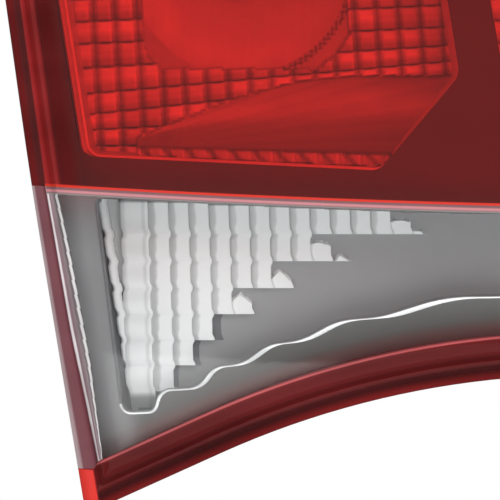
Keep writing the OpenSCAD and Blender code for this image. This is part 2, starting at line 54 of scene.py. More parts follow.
# A cut that leaves less than this share of the piece is made anew.
LEAST_LEFT = {"DIFFERENCE": 0.6, "INTERSECT": 0.12}
CUT_TRIES = 5


def at(x, reach, z):
    return Vector(((x - STUD[0]) * MM, -reach * MM, (z - STUD[1]) * MM))


def unit(v):
    return v / math.hypot(*v)


def inset(points, d):
    """Mitred inset of a closed outline that runs anticlockwise; d holds one distance for each edge."""
    moved = []
    for i, p in enumerate(points):
        before = unit(p - points[i - 1])
        after = unit(points[(i + 1) % len(points)] - p)
        n1 = np.array([-before[1], before[0]])
        n2 = np.array([-after[1], after[0]])
        c = n1 @ n2
        if c > STRAIGHT:
            moved.append(p + d[i] * n1)
        else:
            moved.append(p + ((d[i - 1] - d[i] * c) * n1 + (d[i] - d[i - 1] * c) * n2) / (1 - c * c))
    return moved


def rounded(a, b, c, r, steps):
    """Arc of radius r in the corner b, between its neighbours a and c."""
    u, v = unit(a - b), unit(c - b)
    half = math.acos(max(-1, min(1, u @ v))) / 2
    centre = b + unit(u + v) * r / math.sin(half)
    start = b + u * r / math.tan(half) - centre
    side = 1 if np.cross(b - a, c - b) > 0 else -1
    turn = side * (math.pi - 2 * half) / steps
    arc = []
    for i in range(steps + 1):
        s, k = math.sin(i * turn), math.cos(i * turn)
        arc.append(centre + np.array([start[0] * k - start[1] * s, start[0] * s + start[1] * k]))
    return arc


def arcs(corners, d):
    """An inset outline with its corners rounded."""
    points = inset([np.array(c[:2], float) for c in corners], d)
    ring = []
    for i, b in enumerate(points):
        a, c = points[i - 1], points[(i + 1) % len(points)]
        outer = np.cross(b - a, c - b) > 0
        shift = (d[i - 1] + d[i]) / 2
        r = max(corners[i][2] + (-shift if outer else shift), LEAST_RADIUS)
        ring += rounded(a, b, c, r, corners[i][3])
    return np.array(ring)


def outline(corners, d=0.0, step=5.0):
    """A closed outline from corners given as (x, z, radius, steps), moved in by d, in short steps."""
    plain = arcs(corners, [0.0] * len(corners))
    lengths = np.linalg.norm(np.roll(plain, -1, 0) - plain, axis=1)
    parts = np.maximum(np.ceil(lengths / step), 1).astype(int)
    ring = arcs(corners, d if isinstance(d, list) else [d] * len(corners))
    after = np.roll(ring, -1, 0)
    return np.array([p + (q - p) * k / n for p, q, n in zip(ring, after, parts) for k in range(n)])


def crown(x, z, back=0.0):
    """Reach of the lens face, or of a surface that lies that far behind it."""
    rho = CROWN - CROWN_UP + np.sqrt((CROWN_UP - back) ** 2 - (z - CROWN_AT[1]) ** 2)
    return np.sqrt(rho ** 2 - (x - CROWN_AT[0]) ** 2) + LENS_REACH - CROWN


LAMP = [(12.34, -74.85, 2.5, 6), (82.7, -42.8, 200, 20), (207, -42.8, 26, 14), (203, 84, 24, 14),
        (96, 97, 550, 16), (-12, 85, 16, 12), (0, 0, 1500, 4)]
TAIL_MOUTH = [(13.4, 7.6, 3, 5), (80.3, 4.3, 4, 5), (98.2, 25.5, 5, 6), (90, 76, 12, 8), (2.9, 74, 10, 8)]
TURN_MOUTH = [(122.5, 2.4, 4, 5), (187, 0, 9, 6), (192, 70, 14, 8), (98.8, 76, 10, 8), (107.3, 27, 4, 5)]
WAVE_FEET = [(29.4, -46.6), (41.6, -41.3), (54.3, -36.1), (70.2, -30.6)]
WAVE_CRESTS = [(38.2, -46.1), (48.2, -40.6), (61.6, -35.3), (80, -29.8)]


def joint(x):
    """Height of the joint between the red and clear parts: it falls to the right and flattens."""
    x = np.clip(x, 0, 168.0)
    return 0.45 - 0.0655 * x + 0.000195 * x * x


REVERSE_MOUTH = [(20.7, -51.8, 2.4, 6), (27.9, -51.5, 1.9, 6)]
for foot, crest, r_foot, r_crest in zip(WAVE_FEET, WAVE_CRESTS, (3.4, 5.2, 9, 16), (5.2, 9, 16, 28)):
    REVERSE_MOUTH += [(*foot, r_foot, 8), (*crest, r_crest, 8)]
REVERSE_MOUTH += [(94.5, -25.2, 40, 8), (112, -25, 8, 5), (127, -30, 8, 5), (184, -30, 6, 6),
                  (184, joint(184) - 1.6, 3, 5), (84, joint(84) - 1.7, 1800, 12),
                  (14.5, joint(14.5) - 1.6, 1.5, 5)]
CLEAR_AREA = [(-30, -64.3, 0.6, 1), (14.4, -64.3, 0.7, 4), (15.5, -62.4, 1.2, 4),
              (80.59, -33.0, 190.2, 20), (191, -33, 8, 8), (191, joint(191), 4, 6)]
CLEAR_AREA += [(x, joint(x), 30, 1) for x in range(165, -16, -15)] + [(-30, joint(-30), 0.6, 1)]


# Modelling steps. Each first clears the selection, because an operator acts on all that is selected.
def alone(piece=None):
    bpy.ops.object.select_all(action="DESELECT")
    if piece is not None:
        piece.select_set(True)
        bpy.context.view_layer.objects.active = piece


def edit():
    bpy.ops.object.mode_set(mode="EDIT")


def leave():
    bpy.ops.object.mode_set(mode="OBJECT")


def live(piece):
    return bmesh.from_edit_mesh(piece.data)


def update(piece):
    bmesh.update_edit_mesh(piece.data)


def named(name):
    piece = bpy.context.object
    piece.name = piece.data.name = name
    return piece


def spread(ring, reach):
    """Places of a ring's points; reach is a number or a function of x and z."""
    deep = reach(ring[:, 0], ring[:, 1]) if callable(reach) else np.full(len(ring), reach)
    return [at(x, r, z) for (x, z), r in zip(ring, deep)]


def loft(name, rings, cap_first=False, cap_last=False, joined=False):
    """Starts from a circle, lays it on the first outline and extrudes its edge from outline to outline."""
    alone()
    targets = [spread(ring, reach) for ring, reach in rings]
    bpy.ops.mesh.primitive_circle_add(vertices=len(targets[0]), radius=0.05)
    piece = named(name)
    edit()
    bm = live(piece)
    order = bm.verts.layers.int.new("order")
    bm.faces.layers.int.new("cap")
    for v in bm.verts:
        v[order] = v.index
        v.co = targets[0][v.index]
    update(piece)
    if cap_first:
        add_cap(piece)
    for target in targets[1:]:
        bpy.ops.mesh.extrude_region_move()
        bm = live(piece)
        order = bm.verts.layers.int["order"]
        for v in bm.verts:
            if v.select:
                v.co = target[v[order]]
        update(piece)
    if cap_last:
        add_cap(piece)
    if joined:
        bpy.ops.mesh.select_all(action="DESELECT")
        bpy.ops.mesh.select_non_manifold(extend=False)
        bpy.ops.mesh.bridge_edge_loops()
    leave()
    return piece


def add_cap(piece):
    """Fills the selected ring and marks the new face."""
    bpy.ops.mesh.edge_face_add()
    bm = live(piece)
    cap = bm.faces.layers.int["cap"]
    for f in bm.faces:
        if f.select and len(f.verts) > 4:
            f[cap] = 1
    update(piece)


def crown_cap(piece, step, back):
    """Cuts a flat cap into a grid and lays its points on the crowned surface."""
    alone(piece)
    low, high = np.array(piece.bound_box).min(0), np.array(piece.bound_box).max(0)
    edit()
    for axis in (0, 2):
        normal = np.eye(3)[axis]
        for c in np.arange(low[axis] + step * MM, high[axis], step * MM):
            bm = live(piece)
            cap = bm.faces.layers.int["cap"]
            for v in bm.verts:
                v.select = False
            for f in bm.faces:
                f.select_set(f[cap] == 1)
            bm.select_flush_mode()
            update(piece)
            bpy.ops.mesh.bisect(plane_co=tuple(normal * c), plane_no=tuple(normal))
    bm = live(piece)
    cap = bm.faces.layers.int["cap"]
    for v in {v for f in bm.faces if f[cap] == 1 for v in f.verts}:
        x, z = v.co.x / MM + STUD[0], v.co.z / MM + STUD[1]
        v.co = at(x, float(crown(x, z, back)), z)
    update(piece)
    leave()


def relief(name, xs, zs, reach, back, shade, lean=0.0, sway=None, rise=None):
    """Starts from a grid, raises its points to the moulded face, and closes it by a flat back.
    Columns lean and sway, rows rise to the right; shade gives the painted shade and highlights kept on the
    points."""
    alone()
    bpy.ops.mesh.primitive_grid_add(x_subdivisions=len(xs) - 1, y_subdivisions=len(zs) - 1, size=0.1)
    piece = named(name)
    col, row = np.meshgrid(np.array(xs, float), np.array(zs, float))
    z = row + (rise(col, row) if rise else 0)
    x = col - z * math.tan(math.radians(lean)) + (sway(row) if sway else 0)
    y = reach(x, z, col, row)
    co = np.stack([(x - STUD[0]) * MM, -y * MM, (z - STUD[1]) * MM], 2).reshape(-1)
    piece.data.vertices.foreach_set("co", co)
    tone = shade(x, z, col, row).reshape(-1)
    edit()
    bpy.ops.mesh.select_all(action="SELECT")
    bpy.ops.mesh.region_to_loop()
    bpy.ops.mesh.extrude_region_move()
    bm = live(piece)
    for v in bm.verts:
        if v.select:
            v.co.y = -back * MM
    update(piece)
    bpy.ops.mesh.edge_face_add()
    bpy.ops.mesh.select_all(action="SELECT")
    bpy.ops.mesh.normals_make_consistent(inside=False)
    leave()
    keep_value(piece, "shade", np.concatenate([tone, np.ones(len(piece.data.vertices) - len(tone))]))
    return piece


def outward(piece):
    alone(piece)
    edit()
    bpy.ops.mesh.select_all(action="SELECT")
    bpy.ops.mesh.remove_doubles(threshold=WELD)
    bpy.ops.mesh.normals_make_consistent(inside=False)
    leave()


def apply_modifier(piece, kind, **values):
    alone(piece)
    m = piece.modifiers.new(kind.lower(), kind)
    for key, value in values.items():
        setattr(m, key, value)
    bpy.ops.object.modifier_apply(modifier=m.name)


def weigh(mesh):
    """Volume of a mesh, or 0 if it isn't closed."""
    bm = bmesh.new()
    bm.from_mesh(mesh)
    volume = abs(bm.calc_volume()) if all(len(e.link_faces) == 2 for e in bm.edges) else 0.0
    bm.free()
    return volume


def cut(piece, tool, operation, keep_tool=False):
    """Cuts by a tool. The solver can lose a part, so a result that is open or too light is made anew."""
    before = piece.data.copy()
    least = weigh(before) * LEAST_LEFT[operation]
    for _ in range(CUT_TRIES):
        apply_modifier(piece, "BOOLEAN", object=tool, operation=operation, solver="EXACT")
        if weigh(piece.data) > least:
            break
        piece.data = before.copy()
    bpy.data.meshes.remove(before)
    if not keep_tool:
        bpy.data.objects.remove(tool)


def block(name, corners, d, front, back):
    """A prism on an outline, used as a cutting tool."""
    ring = outline(corners, d)
    tool = loft(name, [(ring, back), (ring, front)], cap_first=True, cap_last=True)
    outward(tool)
    return tool


def join(name, pieces):
    alone(pieces[0])
    for p in pieces:
        p.select_set(True)
    bpy.ops.object.join()
    return named(name)


def smooth(piece, angle=32):
    alone(piece)
    bpy.ops.object.shade_smooth_by_angle(angle=math.radians(angle))


def places(items, field):
    """x, z and reach in millimetres of a mesh's points or faces."""
    co = np.zeros(len(items) * 3)
    items.foreach_get(field, co)
    co = co.reshape(-1, 3)
    return co[:, 0] / MM + STUD[0], co[:, 2] / MM + STUD[1], -co[:, 1] / MM


def open_distance(x, z, line):
    """Distance of each point from an open line of corners."""
    p = np.stack([x, z], 1)[:, None, :]
    a, b = line[None, :-1], line[None, 1:]
    t = np.clip(((p - a) * (b - a)).sum(2) / np.maximum(((b - a) ** 2).sum(2), 1e-9), 0, 1)
    return np.linalg.norm(p - a - t[..., None] * (b - a), axis=2).min(1)


def keep_value(piece, name, values):
    a = piece.data.attributes.new(name, "FLOAT", "POINT")
    a.data.foreach_set("value", np.asarray(values, np.float32))


# Right of SEAM_TO the joint leaves no seam, so the points there count as FAR from it.
SEAM_TO, FAR = 191.5, 50.0


def mark_rim(piece):
    """Keeps what the lens and bezel materials follow: distances in millimetres from the lower edge,
    from the other edges and from the joint, and the place across the stepped rim of the clear part."""
    x, z = places(piece.data.vertices, "co")[:2]
    tip, bend, right = [np.array(c[:2], float) for c in LAMP[:3]]
    sill = np.array([tip, *rounded(tip, bend, right, LAMP[1][2], 40), right])
    sides = np.array([c[:2] for c in LAMP[:1] + LAMP[:1:-1]])
    side = open_distance(x, z, sides)
    keep_value(piece, "low", open_distance(x, z, sill))
    keep_value(piece, "side", side)
    keep_value(piece, "joint", np.where(x > SEAM_TO, FAR, z - joint(x)))
    outer = 3.6 + 0.0125 * np.clip(-z, 0, 99) + 0.0367 * np.clip(-z - 32, 0, 30)
    inner = np.interp(-z, [0, 14, 40, 61.6], [5.4, 6.1, 6.6, 5.9])
    keep_value(piece, "nose", np.where(side < outer, side / outer, 1 + (side - outer) / (inner - outer)))


def finish_piece(piece, material, slot, *nodes):
    """Material and body of a piece, and the nodes that it stands for; slot is not used."""
    piece.data.materials.clear()
    piece.data.materials.append(material)
    for layer in ("order", "cap", "part"):
        if layer in piece.data.attributes:
            piece.data.attributes.remove(piece.data.attributes[layer])
    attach(piece, "root")
    if nodes:
        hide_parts(*nodes)


# Materials
def blank(name):
    material = bpy.data.materials.new(name)
    material.use_nodes = True
    tree = material.node_tree
    tree.nodes.clear()
    return material, tree


def show(material, shader):
    tree = material.node_tree
    tree.links.new(shader.outputs[0], node(tree, "OutputMaterial").inputs["Surface"])
    return material


def node(tree, kind, **inputs):
    n = tree.nodes.new("ShaderNode" + kind)
    for key, value in inputs.items():
        key = key.replace("_", " ")
        if hasattr(value, "node"):
            tree.links.new(value, n.inputs[key])
        else:
            n.inputs[key].default_value = value
    return n


def mixed(tree, fac, first, second):
    """Two shaders, and how much of the second shows."""
    n = node(tree, "MixShader", Fac=fac)
    tree.links.new(first.outputs[0], n.inputs[1])
    tree.links.new(second.outputs[0], n.inputs[2])
    return n


def stored(tree, name, output="Fac"):
    """A value kept on the piece's points."""
    n = node(tree, "Attribute")
    n.attribute_name = name
    return n.outputs[output]


def rgba(colour):
    """A colour, or a grey given as one number, without transparency."""
    return (*colour, 1) if hasattr(colour, "__len__") else (colour, colour, colour, 1)


def ramp(tree, fac, stops):
    """Colours or greys by place, from 0 to 1."""
    n = node(tree, "ValToRGB", Fac=fac)
    while len(n.color_ramp.elements) < len(stops):
        n.color_ramp.elements.new(1.0)
    for e, (place, colour) in zip(n.color_ramp.elements, stops):
        e.position = place
        e.color = rgba(colour)
    return n.outputs["Color"]


def calc(tree, operation, a, b=None, clamp=False):
    n = node(tree, "Math")
    n.operation = operation
    n.use_clamp = clamp
    for i, value in enumerate((a, b)):
        if hasattr(value, "node"):
            tree.links.new(value, n.inputs[i])
        elif value is not None:
            n.inputs[i].default_value = value
    return n.outputs[0]


def dimmed(tree, colour, by):
    return blend(tree, 1.0, colour, by, "MULTIPLY")


def blend(tree, fac, a, b, mode="MIX"):
    n = node(tree, "Mix")
    n.data_type = "RGBA"
    n.blend_type = mode
    for key, value in (("Factor", fac), ("A", a), ("B", b)):
        socket = [s for s in n.inputs if s.name == key and s.enabled][0]
        if hasattr(value, "node"):
            tree.links.new(value, socket)
        else:
            socket.default_value = value if key == "Factor" else rgba(value)
    return [s for s in n.outputs if s.enabled][0]


def grain(tree, scale, detail=3.0, stretch=(1, 1, 1)):
    """Noise that lies in the piece, finer where scale is greater."""
    place = node(tree, "TexCoord").outputs["Object"]
    mapping = node(tree, "Mapping", Vector=place, Scale=stretch)
    return node(tree, "TexNoise", Vector=mapping.outputs[0], Scale=scale, Detail=detail).outputs["Fac"]


def bumped(tree, height, strength, distance):
    return node(tree, "Bump", Height=height, Strength=strength, Distance=distance).outputs["Normal"]


def moulded(name, dark, light, rough, metal=0.0, scale=900.0, depth=0.00005, mottle=90.0):
    """A solid finish: two close tones, uneven gloss and a fine grain."""
    material, tree = blank(name)
    tone = blend(tree, grain(tree, mottle), dark, light)
    gloss = ramp(tree, grain(tree, mottle * 2.3), [(0.3, rough * 0.85), (0.75, min(rough * 1.2, 1))])
    shader = node(tree, "BsdfPrincipled", Base_Color=tone, Roughness=gloss, Metallic=metal,
                  Normal=bumped(tree, grain(tree, scale), 0.35, depth))
    return show(material, shader)


def both(tree, a, b):
    return calc(tree, "MULTIPLY", a, b)


def flip(tree, a):
    return calc(tree, "SUBTRACT", 1.0, a)


def kept(tree, name, reach):
    """A kept value as a share of reach."""
    return calc(tree, "DIVIDE", stored(tree, name), reach, clamp=True)


def less(tree, name, limit, soft=0.15):
    """1 where a kept value is below a limit, 0 where it is above."""
    return calc(tree, "DIVIDE", calc(tree, "SUBTRACT", limit, stored(tree, name)), soft, clamp=True)


# The lens mirrors this much more where it is seen edge on, and hardly at all on the stepped rim.
EDGE_MIRROR, EDGE_POWER = 0.9, 5.0
RIM_REACH = 14.0
RIM_GLOSS = [(0.0, 0.12), (0.68, 0.12), (0.85, 1.0)]


def lens_plastic(name, tint, body, haze, mirror_least=0.04):
    """See-through plastic: what is behind it tinted, a little colour of the plastic itself that also carries
    painted highlights, shade and reflections across the rim, and a polished face.
    """
    material, tree = blank(name)
    through = node(tree, "BsdfTransparent", Color=tint(tree))
    own_and_painted_light = node(tree, "BsdfDiffuse", Color=body(tree))
    polish = node(tree, "BsdfGlossy", Color=(1, 1, 1, 1), Roughness=0.03)
    facing = node(tree, "LayerWeight", Blend=0.5).outputs["Facing"]
    edge = both(tree, calc(tree, "POWER", facing, EDGE_POWER), EDGE_MIRROR)
    rim = calc(tree, "MINIMUM", kept(tree, "side", RIM_REACH), kept(tree, "low", RIM_REACH))
    mirror = both(tree, calc(tree, "ADD", edge, mirror_least), ramp(tree, rim, RIM_GLOSS))
    return show(material, mixed(tree, mirror, mixed(tree, haze(tree), through, own_and_painted_light), polish))


def toothed(tree, name, reach, depth, pitch):
    """A kept value that slips back by one small tooth at each pitch down the lamp."""
    parts = node(tree, "SeparateXYZ", Vector=node(tree, "TexCoord").outputs["Object"])
    uneven = both(tree, grain(tree, 110.0, 1.0), 0.9)
    phase = calc(tree, "ADD", both(tree, parts.outputs["Z"], 1000 / pitch), uneven)
    tooth = calc(tree, "POWER", calc(tree, "FRACT", phase), 1.6)
    wave = both(tree, calc(tree, "SUBTRACT", tooth, 0.4), depth)
    return calc(tree, "DIVIDE", calc(tree, "ADD", stored(tree, name), wave), reach, clamp=True)


def streaks(tree, colour, depth=0.35):
    """Thin lengthwise streaks in the thick rim, as light leaves in moulded plastic."""
    soft = ramp(tree, grain(tree, 38.0, 2.0, (0.35, 1.0, 2.6)), [(0.3, 1 - depth), (0.7, 1.0)])
    return dimmed(tree, colour, soft)


# Colours across the rim, each as millimetres from the edge, red, and green; blue follows green. Beside the lens's
# dark red they hold painted highlights, such as the bright stripe on the left rim's step and the pinkish line
# atop the lower band, and painted shade bands.
SIDE_REACH, LOW_REACH = 10.0, 11.0
SIDE_TONES_AND_LIGHT = [(0.0, 0.18, 0.016), (1.3, 0.17, 0.015), (2.3, 0.10, 0.009), (3.2, 0.095, 0.009),
              (3.6, 0.42, 0.030), (4.2, 0.33, 0.021), (6.3, 0.29, 0.019), (6.9, 0.15, 0.016),
              (8.2, 0.155, 0.019)]
LOW_TONES_AND_LIGHT = [(0.0, 0.27, 0.018), (0.8, 0.21, 0.014), (1.5, 0.11, 0.009), (2.3, 0.055, 0.007),
             (3.3, 0.07, 0.008), (4.0, 0.155, 0.013), (5.2, 0.11, 0.011), (6.8, 0.14, 0.012),
             (8.4, 0.13, 0.013), (9.15, 0.16, 0.018), (9.42, 0.62, 0.13), (9.68, 0.45, 0.09),
             (9.95, 0.12, 0.03)]


def red_stops(stops, reach):
    return [(d / reach, (r, g, g * 1.05)) for d, r, g in stops]


def rim_masks(tree):
    """Where the lower band and the block at the tip take over from the left rim."""
    band = both(tree, less(tree, "low", 10.3), flip(tree, less(tree, "side", 3.7)))
    tip = both(tree, less(tree, "joint", -64.0, 0.3), less(tree, "side", 3.5))
    return band, tip


def red_seam(tree):
    return both(tree, less(tree, "joint", 0.72, 0.25), flip(tree, less(tree, "joint", -3.0)))


def red_colour_and_painted_light(tree):
    band, tip = rim_masks(tree)
    side = ramp(tree, kept(tree, "side", SIDE_REACH), red_stops(SIDE_TONES_AND_LIGHT, SIDE_REACH))
    low = ramp(tree, kept(tree, "low", LOW_REACH), red_stops(LOW_TONES_AND_LIGHT, LOW_REACH))
    colour = streaks(tree, blend(tree, band, side, low))
    colour = blend(tree, tip, colour, (0.80, 0.05, 0.04))
    # The bright orange-red seam along the joint is a painted highlight.
    seam = both(tree, red_seam(tree), flip(tree, less(tree, "side", 3.3)))
    return blend(tree, seam, colour, (0.78, 0.05, 0.03))


def red_haze(tree):
    thinning = [(0, 0.9), (0.46, 0.85), (0.54, 0.50), (0.72, 0.40), (0.88, 0.045)]
    amount = ramp(tree, kept(tree, "side", RIM_REACH), thinning)
    for mask in rim_masks(tree):
        amount = blend(tree, mask, amount, 0.9)
    return blend(tree, red_seam(tree), amount, 0.75)


def red_tint(tree):
    return ramp(tree, kept(tree, "side", SIDE_REACH), [
        (0.00, (0.6, 0.08, 0.08)), (0.65, (0.85, 0.20, 0.19)), (0.80, (0.965, 0.37, 0.345))])


# Colours across the rim of the clear part, and below its joint: its tone over what lies behind, with painted
# highlight lines, painted shade lines and a mauve painted reflection of the red part.
NOSE_REACH, SEAM_REACH = 2.5, 2.0
NOSE_TONES_AND_LIGHT = [(0.0, (0.66, 0.52, 0.54)), (0.16, (0.52, 0.36, 0.38)), (0.26, (0.24, 0.095, 0.110)),
              (0.70, (0.23, 0.080, 0.095)), (0.88, (0.12, 0.03, 0.04)), (0.96, (0.85, 0.78, 0.80)),
              (1.06, (0.90, 0.84, 0.86)), (1.14, (0.32, 0.20, 0.23)), (1.50, (0.40, 0.32, 0.34)),
              (1.78, (0.14, 0.11, 0.12)), (1.88, (0.78, 0.76, 0.76)), (2.08, (0.80, 0.78, 0.78)),
              (2.18, 0.20)]
SEAM_TONES_AND_LIGHT = [(0.0, (0.24, 0.11, 0.12)), (0.55, (0.27, 0.14, 0.15)), (0.70, (0.66, 0.27, 0.29)),
              (1.15, (0.58, 0.25, 0.27)), (1.30, (0.25, 0.16, 0.16)), (1.55, (0.3, 0.28, 0.28))]


def clear_nose(tree):
    """Across the rim of the clear part, with its painted highlight lines: the value wanders, so that its inner
    line is wavy.
    """
    stops = [(d / NOSE_REACH, c) for d, c in NOSE_TONES_AND_LIGHT]
    steady = ramp(tree, kept(tree, "nose", NOSE_REACH), stops)
    wandering = ramp(tree, toothed(tree, "nose", NOSE_REACH, 0.12, 3.3), stops)
    inner = calc(tree, "SUBTRACT", stored(tree, "nose"), 1.1, clamp=True)
    return blend(tree, inner, steady, wandering)


def clear_seam(tree, soft):
    return both(tree, flip(tree, less(tree, "joint", -1.6, soft)), flip(tree, less(tree, "side", 3.4)))


def clear_colour_and_painted_light(tree):
    seam = ramp(tree, kept(tree, "joint", -SEAM_REACH), [(d / SEAM_REACH, c) for d, c in SEAM_TONES_AND_LIGHT])
    return blend(tree, clear_seam(tree, 0.1), streaks(tree, clear_nose(tree), 0.18), seam)


def clear_haze(tree):
    thinning = [(0, 0.9), (0.82, 0.88), (0.86, 0.5), (0.88, 0.01), (1.0, 0.004)]
    amount = ramp(tree, kept(tree, "nose", NOSE_REACH), thinning)
    return blend(tree, clear_seam(tree, 0.15), amount, 0.85)


def clear_tint(tree):
    # Near the lower band, what shows through is tinted pink: a painted reflection of the red band.
    painted_red_reflection = ramp(tree, kept(tree, "low", 18.0), [(0.52, (0.93, 0.80, 0.78)), (0.80, (0.993, 0.997, 0.997))])
    rim = ramp(tree, kept(tree, "nose", NOSE_REACH), [(0.0, 0.55), (0.80, 0.6), (0.88, 1.0)])
    return dimmed(tree, painted_red_reflection, rim)


BEZEL_REACH = 20.0
# Bezel tones by distance from the edge: on the left wall painted paler as light and darker towards the mouth as
# painted shade; low down brown as a painted reflection of the red band, then grey.
BEZEL_LEFT_PAINTED_LIGHT = [(0.3, (0.27, 0.27, 0.275)), (0.5, (0.31, 0.307, 0.315)), (0.8, (0.19, 0.19, 0.192)),
              (1.0, (0.13, 0.13, 0.128))]
BEZEL_LOW_PAINTED_REFLECTION = [(0.50, (0.14, 0.062, 0.062)), (0.60, (0.135, 0.070, 0.068)), (0.70, (0.083, 0.080, 0.076)),
             (0.95, (0.115, 0.116, 0.112))]


def bezel_plastic(name):
    """Grey moulding with painted light: paler on the sloping wall left of the flutes and darker towards its
    mouth, and brown beside the red band as a painted reflection of it.
    """
    material, tree = blank(name)
    left = ramp(tree, kept(tree, "side", BEZEL_REACH), BEZEL_LEFT_PAINTED_LIGHT)
    low = ramp(tree, kept(tree, "low", BEZEL_REACH), BEZEL_LOW_PAINTED_REFLECTION)
    below = both(tree, less(tree, "low", BEZEL_REACH, 2.5), flip(tree, less(tree, "side", 17.0, 4.0)))
    under = blend(tree, below, left, low)
    whole = blend(tree, less(tree, "joint", 0.0), (0.120, 0.095, 0.105), under)
    worn = ramp(tree, grain(tree, 70.0), [(0.3, 0.9), (0.7, 1.0)])
    gloss = ramp(tree, grain(tree, 160.0), [(0.3, 0.42), (0.7, 0.55)])
    shader = node(tree, "BsdfPrincipled", Base_Color=dimmed(tree, whole, worn), Roughness=gloss,
                  Normal=bumped(tree, grain(tree, 900.0), 0.25, 0.00004))
    return show(material, shader)


def bright_metal(name, tone, rough, metal, stretch=(1, 1, 1)):
    """A reflector's coating: its tone follows the painted shade and highlights kept on the points."""
    material, tree = blank(name)
    uneven = ramp(tree, grain(tree, 140.0), [(0.3, rough * 0.8), (0.7, rough * 1.25)])
    shade = blend(tree, grain(tree, 45.0, 3.0, stretch), [0.93 * t for t in rgba(tone)[:3]], tone)
    shade = dimmed(tree, shade, stored(tree, "shade", "Color"))
    shader = node(tree, "BsdfPrincipled", Base_Color=shade, Roughness=uneven, Metallic=metal)
    return show(material, shader)


RED_LENS = lens_plastic("red_lens_plastic", red_tint, red_colour_and_painted_light, red_haze)
CLEAR_LENS = lens_plastic("clear_lens_plastic", clear_tint, clear_colour_and_painted_light, clear_haze, 0.022)
CELL_METAL = bright_metal("cell_metal", 0.88, 0.42, 0.5)
FLUTE_METAL = bright_metal("flute_metal", (0.91, 0.93, 0.93), 0.5, 0.1)
# The smooth floor of the reversing reflector is the same bright coating painted grey: a painted reflection of
# dark surroundings.
FLOOR_PAINTED_REFLECTION = bright_metal("reversing_floor_painted_reflection", (0.33, 0.328, 0.333), 0.45, 0.3, (0.12, 1.0, 2.6))
LEDGE_WHITE = bright_metal("ledge_white", 0.90, 0.3, 0.7)
FLANGE_METAL = bright_metal("flange_metal", 0.80, 0.35, 0.6)
BEZEL_GREY = bezel_plastic("bezel_grey")
# A dark grey put on walls and flute ends where shade falls: painted shade.
WALL_PAINTED_SHADE = moulded("wall_painted_shade", (0.14, 0.14, 0.15), (0.18, 0.18, 0.19), 0.5)
HOUSING_BLACK = moulded("housing_black", (0.018, 0.018, 0.02), (0.032, 0.032, 0.035), 0.52, scale=650.0,
                        depth=0.00008)


# Both shells, each as an inset of its foot with its reach, and insets with how far they lie behind the face.
LENS_FOOT, BEZEL_FOOT = (0.0, 38.6), (6.6, 38.2)
LENS_RIM = [(0.0, 5.5), (0.35, 4.2), (1.1, 3.3), (2.2, 2.8), (3.4, 2.5), (4.4, 2.4), (5.0, 1.3), (5.6, 0.35),
            (6.8, 0.03), (8.0, 0.0), (10.0, 0.0), (12.5, 0.0)]
BEZEL_RIM = [(6.6, 12.5), (5.0, 11.0), (5.0, 9.6), (5.6, 9.0), (9.5, 9.0)]


def crowned(mouth, profile):
    """Rings of insets that lie behind the lens's face."""
    return [(outline(mouth, d), lambda x, z, s=set_back: crown(x, z, s)) for d, set_back in profile]


def shell(name, foot, profile, step, wall):
    """A wall that rises from its foot and spans the crowned face in steps of a grid."""
    piece = loft(name, [(outline(LAMP, foot[0]), foot[1])] + crowned(LAMP, profile), cap_last=True)
    crown_cap(piece, step, profile[-1][1])
    outward_open(piece)
    apply_modifier(piece, "SOLIDIFY", thickness=wall * MM, offset=-1, use_even_offset=True)
    outward(piece)
    return piece


def outward_open(piece):
    """Turns an open shell so that its crowned side faces the front."""
    outward(piece)
    front = max(piece.data.polygons, key=lambda p: -p.center.y)
    if front.normal.y > 0:
        alone(piece)
        edit()
        bpy.ops.mesh.select_all(action="SELECT")
        bpy.ops.mesh.flip_normals()
        leave()


# The lens: one shell with a stepped rim, cut along the joint into its red and clear parts.
red = shell("lens_shell", LENS_FOOT, LENS_RIM, 6.0, LENS_WALL)
alone(red)
bpy.ops.object.duplicate()
clear = named("clear_lens_shell")
tool = block("clear_tool", CLEAR_AREA, 0.0, LENS_REACH + 8, 20)
cut(red, tool, "DIFFERENCE", keep_tool=True)
cut(clear, tool, "INTERSECT")
for piece, material, cad in ((red, RED_LENS, "red_lens"), (clear, CLEAR_LENS, "clear_lens")):
    mark_rim(piece)
    smooth(piece, 30)
    finish_piece(piece, material, cad, cad)
red.name = "red_lens_shell"


# How far the bezel stands back from each edge of its mouths; the wavy ledge shows in the last.
TAIL_EDGES, TURN_EDGES = [-0.5, 0.3, 0.3, 0.3, -2.25], [-0.5, 0.3, 0.3, 0.3, 0.3]
LEDGE = [-0.3, -0.6] + [-0.12, -0.85] * 3 + [-0.15, -0.95, -0.25, -0.3, -0.3, 0.2, 0.3, 0.3, -0.4]


# The bezel: a grey mask behind the lens, open over the three reflectors.
def bezel():
    mask = shell("bezel_mask", BEZEL_FOOT, BEZEL_RIM, 8.0, BEZEL_WALL)
    for i, (mouth, d) in enumerate(((TAIL_MOUTH, TAIL_EDGES), (TURN_MOUTH, TURN_EDGES), (REVERSE_MOUTH, LEDGE))):
        cut(mask, block("mouth_tool_%d" % i, mouth, d, LENS_REACH, 30), "DIFFERENCE")
    mark_rim(mask)
    smooth(mask, 30)
    finish_piece(mask, BEZEL_GREY, "bezel_plastic", "inner_bezel")


bezel()


# The reflectors: a moulded floor, and a wall that ends in a rounded flange in the bezel's opening.
def share(v, pitch):
    """Place within a cell of a row of cells, from 0 to 1."""
    return v / pitch - np.floor(v / pitch)


PILLOW_W, PILLOW_FROM = 5.05, 1.1
# Lines between the rows of pillows, as they run at the left of the tail lamp.
PILLOW_ROWS = np.array([-4.5, 0.6, 6.0, 9.95, 13.9, 17.8, 22.5, 28.3, 33.8, 38.9, 44.1, 49.3, 54.5, 59.7, 64.9,
                        70.1, 75.3, 80.5, 85.7])
